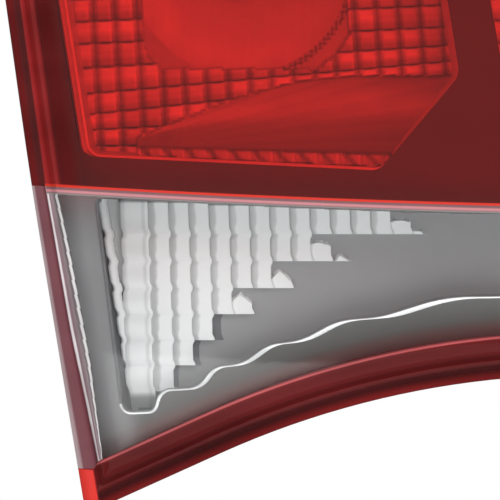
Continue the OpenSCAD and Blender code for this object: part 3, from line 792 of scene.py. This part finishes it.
# Middles of the three bulbs' bowls, and the window that shows of each: half its width and height, its radius.
TAIL_AT, TURN_AT, REVERSE_AT = (47.7, 51.6), (147.0, 46.0), (140.0, -19.6)
WINDOW_WIDE, WINDOW_HIGH, WINDOW_ROUND, BOWL_ROUND, FLOOR_ROUND = 23.8, 24, 30, 27, 26


def row_share(row):
    """The row of pillows at a height, and how far up that row it is."""
    i = np.clip(np.searchsorted(PILLOW_ROWS, row, side="right") - 1, 0, len(PILLOW_ROWS) - 2)
    return i, (row - PILLOW_ROWS[i]) / (PILLOW_ROWS[i + 1] - PILLOW_ROWS[i])


def row_rise(col, row):
    """The rows of the tail lamp fan out: they climb to the right, the low ones more."""
    climb = np.interp(row, [6, 10, 17.8, 22.5, 28.3, 33.8], [0, 0.5, 7.0, 5.8, 4.0, 3.0])
    return climb * np.clip((col - 20) / 65, -0.2, 1.35)


def ease(v, low, high):
    """0 below low, 1 above high, with a soft step between."""
    t = np.clip((v - low) / (high - low), 0, 1)
    return t * t * (3 - 2 * t)


def pillow_across(col):
    return share(col - PILLOW_FROM, PILLOW_W)


def pillows(col, row):
    """Cushions with a groove between the columns, that turn upwards at the top of each row."""
    across = pillow_across(col)
    up = row_share(row)[1]
    body = 1 - np.clip(np.abs(across - 0.5) / 0.41, 0, 1) ** 5
    return body * (1.0 - 0.5 * ease(up, 0.35, 1.0) - 0.35 * ease(up, 0.86, 1.0)) - 0.3 * (body < 0.02)


def pillow_shade(col, row):
    """Painted light on the pillows: dark painted shade in the grooves and painted shadow lines at the top and
    foot of each row, the lower part of each pillow darker than its lit upper part, and each pillow a little
    lighter or darker than its neighbours.
    """
    across = pillow_across(col)
    number, up = row_share(row)
    tone = 0.74 + 0.26 * ease(up, 0.22, 0.42)
    seed = number * 12.9898 + np.floor((col - PILLOW_FROM) / PILLOW_W) * 78.233
    uneven = share(np.sin(seed) * 43758.5, 1.0)
    tone = tone * (0.80 + 0.29 * uneven)
    tone = tone * (1 + 0.10 * ease(up, 0.50, 0.56) * (1 - ease(up, 0.62, 0.68)) * np.sign(uneven - 0.5))
    tone = tone * (1 - 0.40 * ease(np.abs(across - 0.5), 0.37, 0.43))
    return tone * (1 - 0.62 * ease(up, 0.88, 0.99)) * (1 - 0.35 * (1 - ease(up, 0.0, 0.08)))


def in_window(middle, x, z):
    right, up = x - middle[0], z - middle[1]
    return (np.abs(right + 0.1 * up) < WINDOW_WIDE) & (np.abs(up) < WINDOW_HIGH) \
        & (np.hypot(right, up) < WINDOW_ROUND)


def sink_bowl(middle, x, z, face):
    """The face with a bulb's bowl sunk into it."""
    deep = 6.0 * np.clip(1 - (np.hypot(x - middle[0], z - middle[1]) / BOWL_ROUND) ** 2, 0.12, None)
    return np.where(in_window(middle, x, z), CELL_FLOOR - deep, face)


# The scoop at the foot of the tail cell begins at SCOOP_FROM; from SCOOP_BEND on its top is an arc.
SCOOP_FROM, SCOOP_BEND = 24.0, 33


def scoop_top(x):
    climb = np.sin(np.pi / 2 * np.clip((x - SCOOP_BEND) / 42, 0, 1))
    return np.interp(x, [SCOOP_FROM, SCOOP_BEND], [11.8, 15.5]) + 10.5 * climb


def scoop_foot(x):
    return 9.7 - 0.03 * (x - 13)


def in_scoop(x, z):
    return (x > SCOOP_FROM) & (z < scoop_top(x))


def tail_face(x, z, col, row):
    """Pillows, the scoop that sweeps up to the lip, small pillows on the lip, and the bowl."""
    floor = CELL_FLOOR + pillows(col, row)
    lip = crown(x, z, 11.4) - 3
    t = np.clip((scoop_top(x) - z) / (scoop_top(x) - scoop_foot(x)), 0, 1)
    sweep = CELL_FLOOR + (lip - CELL_FLOOR) * (1 - np.sqrt(1 - t * t))
    small = lip + 0.9 * np.sqrt(np.clip(1 - ((pillow_across(col) - 0.5) / 0.40) ** 2, 0, 1))
    face = np.where(in_scoop(x, z), sweep, floor)
    face = np.where(z < scoop_foot(x), np.where(x > SCOOP_FROM, small, floor), face)
    return sink_bowl(TAIL_AT, x, z, face)


def shade_bowl(middle, x, z, tone):
    """Painted light on a bowl: faint turning marks, painted shade where the bowl meets the pillows, and a jagged
    painted shadow arc at the lower right.
    """
    r = np.hypot(x - middle[0], z - middle[1])
    shown = 0.78 - 0.08 * ease(r, 21, 27) + 0.012 * np.sin(r * 5.1) + 0.012 * np.sin(x * 2.7)
    jag = 0.35 * np.sign(np.sin((x + z) * 3.1))
    low_right = (x > middle[0]) & (z < middle[1])
    shown = shown * (1 - 0.75 * low_right * np.exp(-((r - 26.3 + jag) / 0.45) ** 2))
    return np.where(in_window(middle, x, z), shown, tone)


# Painted light on the tail cell: the pillows' painted shade, the scoop darker to the right with faint radial
# streaks and a painted shadow under its top, painted shade between the small pillows and a painted shadow line
# along the scoop's foot.
def tail_shade(x, z, col, row):
    tone = pillow_shade(col, row)
    fan = np.arctan2(z - 8.5, x - 18)
    sweep = 0.70 - 0.0030 * (x - SCOOP_BEND) + 0.03 * np.sin(fan * 95) + 0.02 * np.sin(fan * 211 + 1.7)
    sweep = sweep * (1 - 0.45 * (1 - ease(scoop_top(x) - z, 0.0, 0.9)) * ease(x, 50, 60))
    tone = np.where(in_scoop(x, z), sweep, tone)
    small = 0.42 + 0.40 * ease(0.5 - np.abs(pillow_across(col + 0.8 * (z - 8)) - 0.55), 0.10, 0.2)
    tone = np.where((z < scoop_foot(x)) & (x > SCOOP_FROM), small, tone)
    tone = tone * (1 - 0.5 * np.exp(-((z - scoop_foot(x)) / 0.45) ** 2) * (x > SCOOP_FROM))
    return shade_bowl(TAIL_AT, x, z, tone)


def turn_face(x, z, col, row):
    return sink_bowl(TURN_AT, x, z, CELL_FLOOR + pillows(col, row))


def turn_shade(x, z, col, row):
    return shade_bowl(TURN_AT, x, z, pillow_shade(col, row))


FLUTE_W, FLUTE_FROM, FLUTE_LEAN = 4.65, 26.3, 1.9
# The wide flute left of the others, and the height of its foot.
WIDE_FROM, WIDE_TO, WIDE_FOOT = 19.9, 26.2, -51.4
ROW_ENDS = [-4.2, -10.65, -16.9, -23.1, -29.1, -35.1, -40.9, -46.9]
# Whole flutes in each row.
ROW_FLUTES = [12, 8, 6, 4, 3, 2, 1]
# The flutes after them come out of the floor only towards the row's foot. For each of these, how far down
# the row that is, at its left side, its peak and its right side.
ROW_LATE = [[(0.50, 0.45, 0.50), (0.84, 0.84, 1.2)], [(0.32, 0.25, 0.36), (1.0, 0.70, 1.05)],
            [(0.62, 0.28, 0.68)], [(0.46, 0.17, 0.52)], [], [], []]
# Where the peak is across a flute, a place past the foot of every row, and a height below the floor.
PEAK_AT, NEVER, SUNK = 0.42, 9.0, -9
# How wide the painted shadow at the end of a row's last flute is, as a share of a flute.
ROW_SHADED = [0, 0, 0, 0, 0.42, 0.34, 0.24]


def flute_late(row, col, t):
    """How far down its row a flute comes out of the smooth floor: 0 for a whole flute."""
    number = np.clip(np.floor((col - FLUTE_FROM) / FLUTE_W), 0, None)
    late = np.where(number < np.array(ROW_FLUTES)[row], 0.0, NEVER)
    for r, parts in enumerate(ROW_LATE):
        for k, (left, peak, right) in enumerate(parts):
            here = (row == r) & (number == ROW_FLUTES[r] + k)
            late = np.where(here, np.interp(t, [0, PEAK_AT, 1], [left, peak, right]), late)
    return late


def flute_row(z):
    """The stepped row at a height, and how far down that row it is."""
    rows = np.array(ROW_ENDS)
    row = np.clip(np.searchsorted(-rows, -z, side="left") - 1, 0, len(rows) - 2)
    return row, np.clip((rows[row] - z) / (rows[row] - rows[row + 1]), 0, 1)


def flute_sway(z):
    """Every row pushes the columns aside at its foot, so that their edges run in small teeth."""
    down = flute_row(z)[1]
    return 0.46 * (ease(down, 0.74, 0.97) + (1 - ease(down, 0.02, 0.22)) * (z < ROW_ENDS[1] + 0.5))


def smooth_floor(x, z):
    r = np.hypot(x - REVERSE_AT[0], z - REVERSE_AT[1])
    return FLUTE_BASE - 1.1 * np.clip(1 - (r / FLOOR_ROUND) ** 2, 0, 1)


def column(t, rise=0.3, deep=0.85):
    """Across a flute: a side that faces left, then a broad face that turns a little to the right."""
    return np.where(t < rise, -deep * (1 - t / rise) ** 1.6, -0.22 * ((t - rise) / (1 - rise)) ** 2)


def slim(col, z):
    """Share across the slim slanting flute at the left."""
    return (col - 14.7 + 0.125 * (z + 3)) / 2.3


def flute_face(x, z, col, line):
    """Rows of flutes, the wide flute and the slim one on the smooth floor."""
    row, down = flute_row(z)
    t = share(col - FLUTE_FROM, FLUTE_W)
    late = flute_late(row, col, t)
    height = 1.7 + 0.12 * down + column(t)
    height = np.where(late > 0, np.minimum(height, 1.3) * np.clip((down - late) / 0.05, -1, 1), height)
    height = np.where((col < FLUTE_FROM) | (z < ROW_ENDS[-1]), SUNK, height)
    broad = 1.75 + 0.12 * down + 0.5 * column(np.clip((col - WIDE_FROM) / (WIDE_TO - WIDE_FROM), 0, 1), 0.2)
    broad = broad - np.clip((-47.2 - z) / 4.0, 0, 1) ** 1.4 * 1.9
    height = np.where((col > WIDE_FROM) & (col < WIDE_TO) & (z > WIDE_FOOT), broad, height)
    t = slim(col, z)
    height = np.where((t > 0) & (t < 1) & (col < WIDE_FROM), 1.45 + 0.12 * down + column(t, 0.25, 0.5), height)
    return np.maximum(FLUTE_BASE + height, smooth_floor(x, z))


def flute_shade(x, z, col, line):
    """Painted shade on the flutes: the left side of each flute is greyer, most where a row begins, and its right
    edge darker; the wide flute is darker at its left edge and in a band, and dulls at its foot; the slim flute
    darkens to its right and the gap beside it is dark.
    """
    row, down = flute_row(z)
    t = share(col - FLUTE_FROM, FLUTE_W)
    side = 0.34 + 0.05 * np.sin(down * np.pi) - 0.10 * ease(down, 0.55, 0.9)
    tone = 1 - 0.27 * (1 - ease(t, side - 0.08, side + 0.03)) - 0.12 * ease(t, 0.93, 1.0)
    late = flute_late(row, col, t)
    tone = np.where(((late > 0) & (down != late)) | (z < ROW_ENDS[-1]), 1.0, tone)
    wide = (col - WIDE_FROM) / (WIDE_TO - WIDE_FROM)
    across = 1 - 0.10 * (1 - ease(wide, 0.0, 0.12)) - 0.16 * ease(wide, 0.74, 0.80) * (1 - ease(wide, 0.86, 0.92))
    across = across * (0.95 + 0.05 * np.sin(down * 2 * np.pi + row)) * (1 - 0.52 * ease(-z, 46.8, 48.5))
    tone = np.where((wide > 0) & (wide < 1), across, tone)
    t = slim(col, z)
    tone = np.where((t > 0) & (t < 1) & (wide < 0), 1 - 0.25 * ease(t, 0.62, 0.9), tone)
    return np.where((t >= 1) & (wide < 0), 0.62, tone)


def flute_part(x, z, reach):
    """Finishes of the reversing floor: 0 flutes, 1 smooth floor, 2 painted shade, a dark grey on the ends of the
    last rows and on what lies left of the slim flute."""
    col = x + z * math.tan(math.radians(FLUTE_LEAN)) - flute_sway(z)
    row = flute_row(z)[0]
    past = (col - FLUTE_FROM) / FLUTE_W - np.array(ROW_FLUTES)[row]
    shaded = (past > 0) & (past < np.array(ROW_SHADED)[row]) & (z > ROW_ENDS[-1]) | (slim(col, z) < 0)
    gap = (slim(col, z) >= 1) & (col < WIDE_FROM)
    return np.where(shaded, SHADED, np.where((reach < smooth_floor(x, z) + 0.06) & ~gap, 1, 0))


def lines(low, high, pitch, parts, gap=0.02):
    """Places of the lines of a grid: cells of a pitch, each in parts, with a double line between cells."""
    out = []
    c = low
    while c < high - 1e-6:
        out += [c + gap + (pitch - 2 * gap) * i / parts for i in range(parts + 1)]
        c += pitch
    return out


def row_lines(rows, parts, gap=0.03):
    """The same for rows of uneven height."""
    out = []
    for low, high in zip(rows[:-1], rows[1:]):
        out += [low + gap + (high - low - 2 * gap) * i / parts for i in range(parts + 1)]
    return out


def wall_ring(name, mouth, foot, back, profile, parts, draft=1.3):
    """A wall round a mouth: up the outside, over the flange given by profile, and down the drafted inside.
    parts holds the finish of each band of its faces."""
    rings = [(outline(mouth, -2.0), back)] + crowned(mouth, profile)
    rings += [(outline(mouth, draft), foot), (outline(mouth, draft), back)]
    ring = loft(name, rings, joined=True)
    n = len(rings[0][0])
    keep_part(ring, [parts[min(i // n, len(parts) - 1)] for i in range(len(ring.data.polygons))])
    keep_value(ring, "shade", np.ones(len(ring.data.vertices)))
    outward(ring)
    return ring


# Numbers of finishes: the wall in painted shade, the white ledge, and a wall's inner side, sorted out by place.
SHADED, WHITE, INSIDE = 2, 3, 9
# The reversing cell's wall and ledge take the painted shade left of one place and above the other.
SHADED_TO, SHADED_ABOVE = 21.6, -49.5


def keep_part(piece, values):
    a = piece.data.attributes.new("part", "INT", "FACE")
    a.data.foreach_set("value", np.asarray(values, np.int32))


def cell(name, mouth, floor, foot, back, posts, materials, node_name, profile, parts, floor_part=None,
         draft=1.3):
    """Trims a floor to its mouth, joins it with its wall and screw posts, and gives each face its finish."""
    cut(floor, block(name + "_tool", mouth, 0.3, LENS_REACH, back - 5), "INTERSECT")
    faces = floor.data.polygons
    keep_part(floor, floor_part(*places(faces, "center")) if floor_part else [0] * len(faces))
    ring = wall_ring(name + "_wall", mouth, foot, back, profile, parts, draft)
    screws = [post(p, back) for p in posts]
    for p in screws:
        keep_part(p, [0] * len(p.data.polygons))
        keep_value(p, "shade", np.ones(len(p.data.vertices)))
    piece = join(name, [floor, ring] + screws)
    smooth(piece, 28)
    part = np.zeros(len(piece.data.polygons), np.int32)
    piece.data.attributes["part"].data.foreach_get("value", part)
    x, z = places(piece.data.polygons, "center")[:2]
    # Left of SHADED_TO and above SHADED_ABOVE the inner wall and ledge get the dark grey of painted shade.
    dark = (x < SHADED_TO) & (z > SHADED_ABOVE) & ((part == INSIDE) | (part == WHITE))
    part = np.where(dark, SHADED, np.where(part == INSIDE, 1, part))
    finish_piece(piece, materials[0], "reflector", node_name)
    for m in materials[1:]:
        piece.data.materials.append(m)
    piece.data.polygons.foreach_set("material_index", part.astype(np.int32))
    return piece


POST_R, POST_FOOT, POST_WALL, BORE_DEEP = 4, 9, 2.1, 8


def post(p, back):
    """A hollow screw post from the rear wall to the reflector."""
    alone()
    head = back + 1
    bpy.ops.mesh.primitive_cylinder_add(
        vertices=24, radius=POST_R * MM, depth=(head - POST_FOOT) * MM,
        location=at(p[0], (head + POST_FOOT) / 2, p[1]), rotation=(math.pi / 2, 0, 0))
    piece = named("post")
    bpy.ops.object.transform_apply(location=True, rotation=True, scale=True)
    edit()
    bm = live(piece)
    for f in bm.faces:
        f.select_set(f.normal.y > 0.9)
    bm.select_flush_mode()
    update(piece)
    bpy.ops.mesh.inset(thickness=POST_WALL * MM)
    bpy.ops.mesh.extrude_region_move(TRANSFORM_OT_translate={"value": (0, -BORE_DEEP * MM, 0)})
    leave()
    return piece


pillow_x = lines(PILLOW_FROM - PILLOW_W, 109, PILLOW_W, 10)
pillow_z = row_lines(PILLOW_ROWS[1:-1], 9)
# Each flange as insets with how far they lie behind the face, then the finish of each band of the wall.
RED_FLANGE = [(-2.0, 9.8), (-1.6, 9.5), (-1.5, 10.9), (-0.55, 10.9), (-0.5, 10.7), (0.05, 10.97), (0.2, 11.9)]
RED_PARTS = [0, 1, 0, 0, 0, 1, 0, 0, 0, 0]
RED_METALS, RED_FOOT, RED_LEAN = [CELL_METAL, FLANGE_METAL], 31, 3.6
tail_floor = relief("tail_floor", pillow_x, pillow_z, tail_face, CELL_BACK, tail_shade, RED_LEAN, None, row_rise)
cell("tail_cell", TAIL_MOUTH, tail_floor, RED_FOOT, CELL_BACK, [(14, 62), (78, 66), (30, 16)], RED_METALS,
     "tail_reflector", RED_FLANGE, RED_PARTS)
turn_x = lines(PILLOW_FROM + 18 * PILLOW_W, 205, PILLOW_W, 7)
turn_z = row_lines(PILLOW_ROWS, 7)
turn_floor = relief("turn_floor", turn_x, turn_z, turn_face, CELL_BACK, turn_shade, RED_LEAN)
cell("turn_cell", TURN_MOUTH, turn_floor, RED_FOOT, CELL_BACK, [(118, 68), (180, 62), (150, 8)], RED_METALS,
     "turn_reflector", RED_FLANGE, RED_PARTS)
EDGE_GAP = 0.02
flute_x = list(np.linspace(9, WIDE_FROM - EDGE_GAP, 64))
flute_x += list(np.linspace(WIDE_FROM + EDGE_GAP, WIDE_TO - EDGE_GAP, 34))
flute_x += lines(FLUTE_FROM, FLUTE_FROM + 14.9 * FLUTE_W, FLUTE_W, 16) + list(np.linspace(98.0, 190, 40))
flute_z = [-58, -54, -51.45, -51.35, -50.5, -49.5, -48.5, -47.9, -47.3, -46.93]
for low, high in zip(ROW_ENDS[:0:-1], ROW_ENDS[-2::-1]):
    flute_z += list(np.linspace(low + 0.01, high - 0.01, 22))
flute_z += [-3.6, -2.6, -1, 1]
reverse_floor = relief("reverse_floor", flute_x, flute_z, flute_face, FLUTE_BACK, flute_shade, FLUTE_LEAN,
                       flute_sway)
REVERSE_FLANGE = [(-2.0, 10.9), (-1.5, 10.35), (-1.4, 10.35), (0.05, 10.9), (0.2, 11.9)]
REVERSE_PARTS = [0, 0, WHITE, WHITE, WHITE, INSIDE, INSIDE, 1, 1, 1]
cell("reverse_cell", REVERSE_MOUTH, reverse_floor, 35, FLUTE_BACK, [(52, -27), (110, -18), (162, -20)],
     [FLUTE_METAL, FLOOR_PAINTED_REFLECTION, WALL_PAINTED_SHADE, LEDGE_WHITE], "reverse_reflector", REVERSE_FLANGE, REVERSE_PARTS,
     flute_part, draft=0.45)


def bulb_glass(name, tint):
    """Thin glass: see-through, mirror-like towards its edges, with a few faint draw lines."""
    material, tree = blank(name)
    drawn = ramp(tree, grain(tree, 120.0, 2.0, (1.0, 0.08, 1.0)), [(0.35, 0.92), (0.65, 1.0)])
    through = node(tree, "BsdfTransparent", Color=dimmed(tree, tint, drawn))
    edge = node(tree, "LayerWeight", Blend=0.4).outputs["Facing"]
    polish = node(tree, "BsdfGlossy", Color=(0.95, 0.95, 0.95, 1), Roughness=0.05)
    mirror = ramp(tree, edge, [(0.0, 0.08), (0.6, 0.2), (1.0, 0.9)])
    return show(material, mixed(tree, mirror, through, polish))


# The studs' head, collar and tip are given as reaches with radii; the seat face is at reach 0.
STUD_PLACES = ((98.0, 66.0), (30.0, -27.0), (187.0, 16.0))
STUD_STEPS = [(14, 4.2), (13.6, 4.6), (10.3, 4.6), (10, 4.3), (10, 3.4), (0, 3.4), (0, 3.0), (-1.2, 2.95)]
STUD_TIP = [(-21.9, 2.9), (-23, 2.2)]
THREAD_PITCH, THREAD_ROOT, THREAD_DEEP = 1.0, 2.52, 0.48


def stud(place):
    """A press-in stud: head, plain collar through the wall, and a rolled thread with a chamfered tip."""
    turn = np.linspace(0, 2 * np.pi, 24, endpoint=False)
    circle = np.stack([np.cos(turn), np.sin(turn)], 1)
    rings = [(place + circle * r, reach) for reach, r in STUD_STEPS]
    for reach in np.arange(-1.5, -21.6, -THREAD_PITCH / 4):
        crest = 1 - np.abs(2 * share(reach + turn / (2 * np.pi), THREAD_PITCH) - 1)
        rings.append((place + circle * (THREAD_ROOT + THREAD_DEEP * crest)[:, None], reach))
    rings += [(place + circle * r, reach) for reach, r in STUD_TIP]
    piece = loft("stud", rings, cap_first=True, cap_last=True)
    outward(piece)
    return piece


studs = join("threaded_studs", [stud(np.array(place)) for place in STUD_PLACES])
smooth(studs, 35)
finish_piece(studs, moulded("stud_steel", (0.50, 0.50, 0.47), (0.66, 0.66, 0.63), 0.34, metal=1.0, scale=600.0),
             "stud_steel", "mounting_studs")

# The nodes that stay as they are carried over get a finish each.
SOCKET_GREY = moulded("socket_grey", (0.10, 0.10, 0.11), (0.145, 0.145, 0.155), 0.5, scale=800.0)
SEAL_RUBBER = moulded("seal_rubber", (0.016, 0.016, 0.017), (0.03, 0.03, 0.032), 0.75, scale=500.0, depth=0.0001)
CONTACT_BRASS = moulded("contact_brass", (0.66, 0.48, 0.20), (0.80, 0.62, 0.30), 0.28, metal=1.0, scale=1200.0,
                        depth=0.00002)
FINISHES = {
    "housing": HOUSING_BLACK,
    "lens_seal": moulded("sealant_black", 0.012, 0.03, 0.4, scale=260.0, depth=0.0003),
    "reflector_screws": moulded("screw_zinc", (0.52, 0.53, 0.56), (0.70, 0.71, 0.75), 0.3, metal=1.0,
                                scale=700.0),
    "tail_bulb": bulb_glass("tail_bulb_glass", (0.97, 0.97, 0.96)),
    "turn_bulb": bulb_glass("turn_bulb_glass", (0.98, 0.66, 0.18)),
    "reverse_bulb": bulb_glass("reverse_bulb_glass", 0.97),
    "stud_gaskets": moulded("gasket_foam", (0.025, 0.025, 0.027), (0.06, 0.06, 0.063), 0.95, scale=1500.0,
                            depth=0.0004),
    "vent_cap": moulded("vent_black", 0.02, (0.04, 0.04, 0.042), 0.6, scale=500.0, depth=0.00008),
}
for cell_name in ("tail", "turn", "reverse"):
    FINISHES[cell_name + "_socket"] = SOCKET_GREY
    FINISHES[cell_name + "_seal_ring"] = SEAL_RUBBER
    FINISHES[cell_name + "_contacts"] = CONTACT_BRASS
for node_name, finish in FINISHES.items():
    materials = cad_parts[node_name].data.materials
    materials.clear()
    materials.append(finish)

# The stage: a pale floor below the lamp; the studio round it is white where the camera looks.
pale = moulded("floor_pale", 0.80, 0.84, 0.6, scale=40.0, mottle=6.0)
alone()
bpy.ops.mesh.primitive_plane_add(size=5, location=(0, 0, -0.6))
floor = named("floor")
floor.data.materials.append(pale)


def softbox(name, place, aim, size, radiance):
    """A light of a given size in metres; its power follows from how bright its face is."""
    alone()
    bpy.ops.object.light_add(type="AREA", location=place)
    lamp = bpy.context.object
    lamp.name = name
    lamp.data.shape = "RECTANGLE"
    lamp.data.size, lamp.data.size_y = size
    lamp.data.energy = radiance * math.pi * size[0] * size[1]
    lamp.rotation_euler = (Vector(aim) - Vector(place)).to_track_quat("-Z", "Y").to_euler()


softbox("top_box", (0.0, -1.10, 0.86), (0, 0, 0), (1.7, 1.0), 1.7)
softbox("low_box", (0.05, -1.05, -0.52), (0, 0, -0.02), (1.4, 0.6), 2.1)
softbox("right_box", (0.95, -1.05, 0.0), (0, 0, 0), (0.9, 1.3), 1.7)
softbox("left_box", (-1.15, -0.75, 0.0), (0, 0, 0), (0.7, 1.3), 1.45)


def studio():
    """Soft grey light from all round; the camera itself sees a white room."""
    world = bpy.data.worlds.new("studio")
    world.use_nodes = True
    tree = world.node_tree
    light = tree.nodes["Background"]
    light.inputs["Color"].default_value = (0.32, 0.32, 0.32, 1)
    room = node(tree, "Background", Color=(1, 1, 1, 1))
    either = mixed(tree, node(tree, "LightPath").outputs["Is Camera Ray"], light, room)
    tree.links.new(either.outputs[0], tree.nodes["World Output"].inputs["Surface"])
    return world


bpy.context.scene.world = studio()
bpy.context.scene.view_settings.view_transform = "Standard"

# The camera sees the lamp's corner as the photograph does, at PER_MM pixels to the millimetre, with the place
# where the lenses meet the left edge at pixel CORNER. FACE_MM is the reach of the lens.
PIXELS, PER_MM, CORNER = 500, 4.4, (30, 187)
CAMERA_MM, FACE_MM, SENSOR_MM = 1700.0, 61, 36
middle_x, middle_z = (PIXELS / 2 - CORNER[0]) / PER_MM, (CORNER[1] - PIXELS / 2) / PER_MM
bpy.ops.object.camera_add(location=at(middle_x, CAMERA_MM, middle_z), rotation=(math.pi / 2, 0, 0))
camera = bpy.context.object
camera.data.sensor_width = SENSOR_MM
camera.data.lens = SENSOR_MM * (CAMERA_MM - FACE_MM) / (PIXELS / PER_MM)
camera.data.clip_end = 20
bpy.context.scene.camera = camera
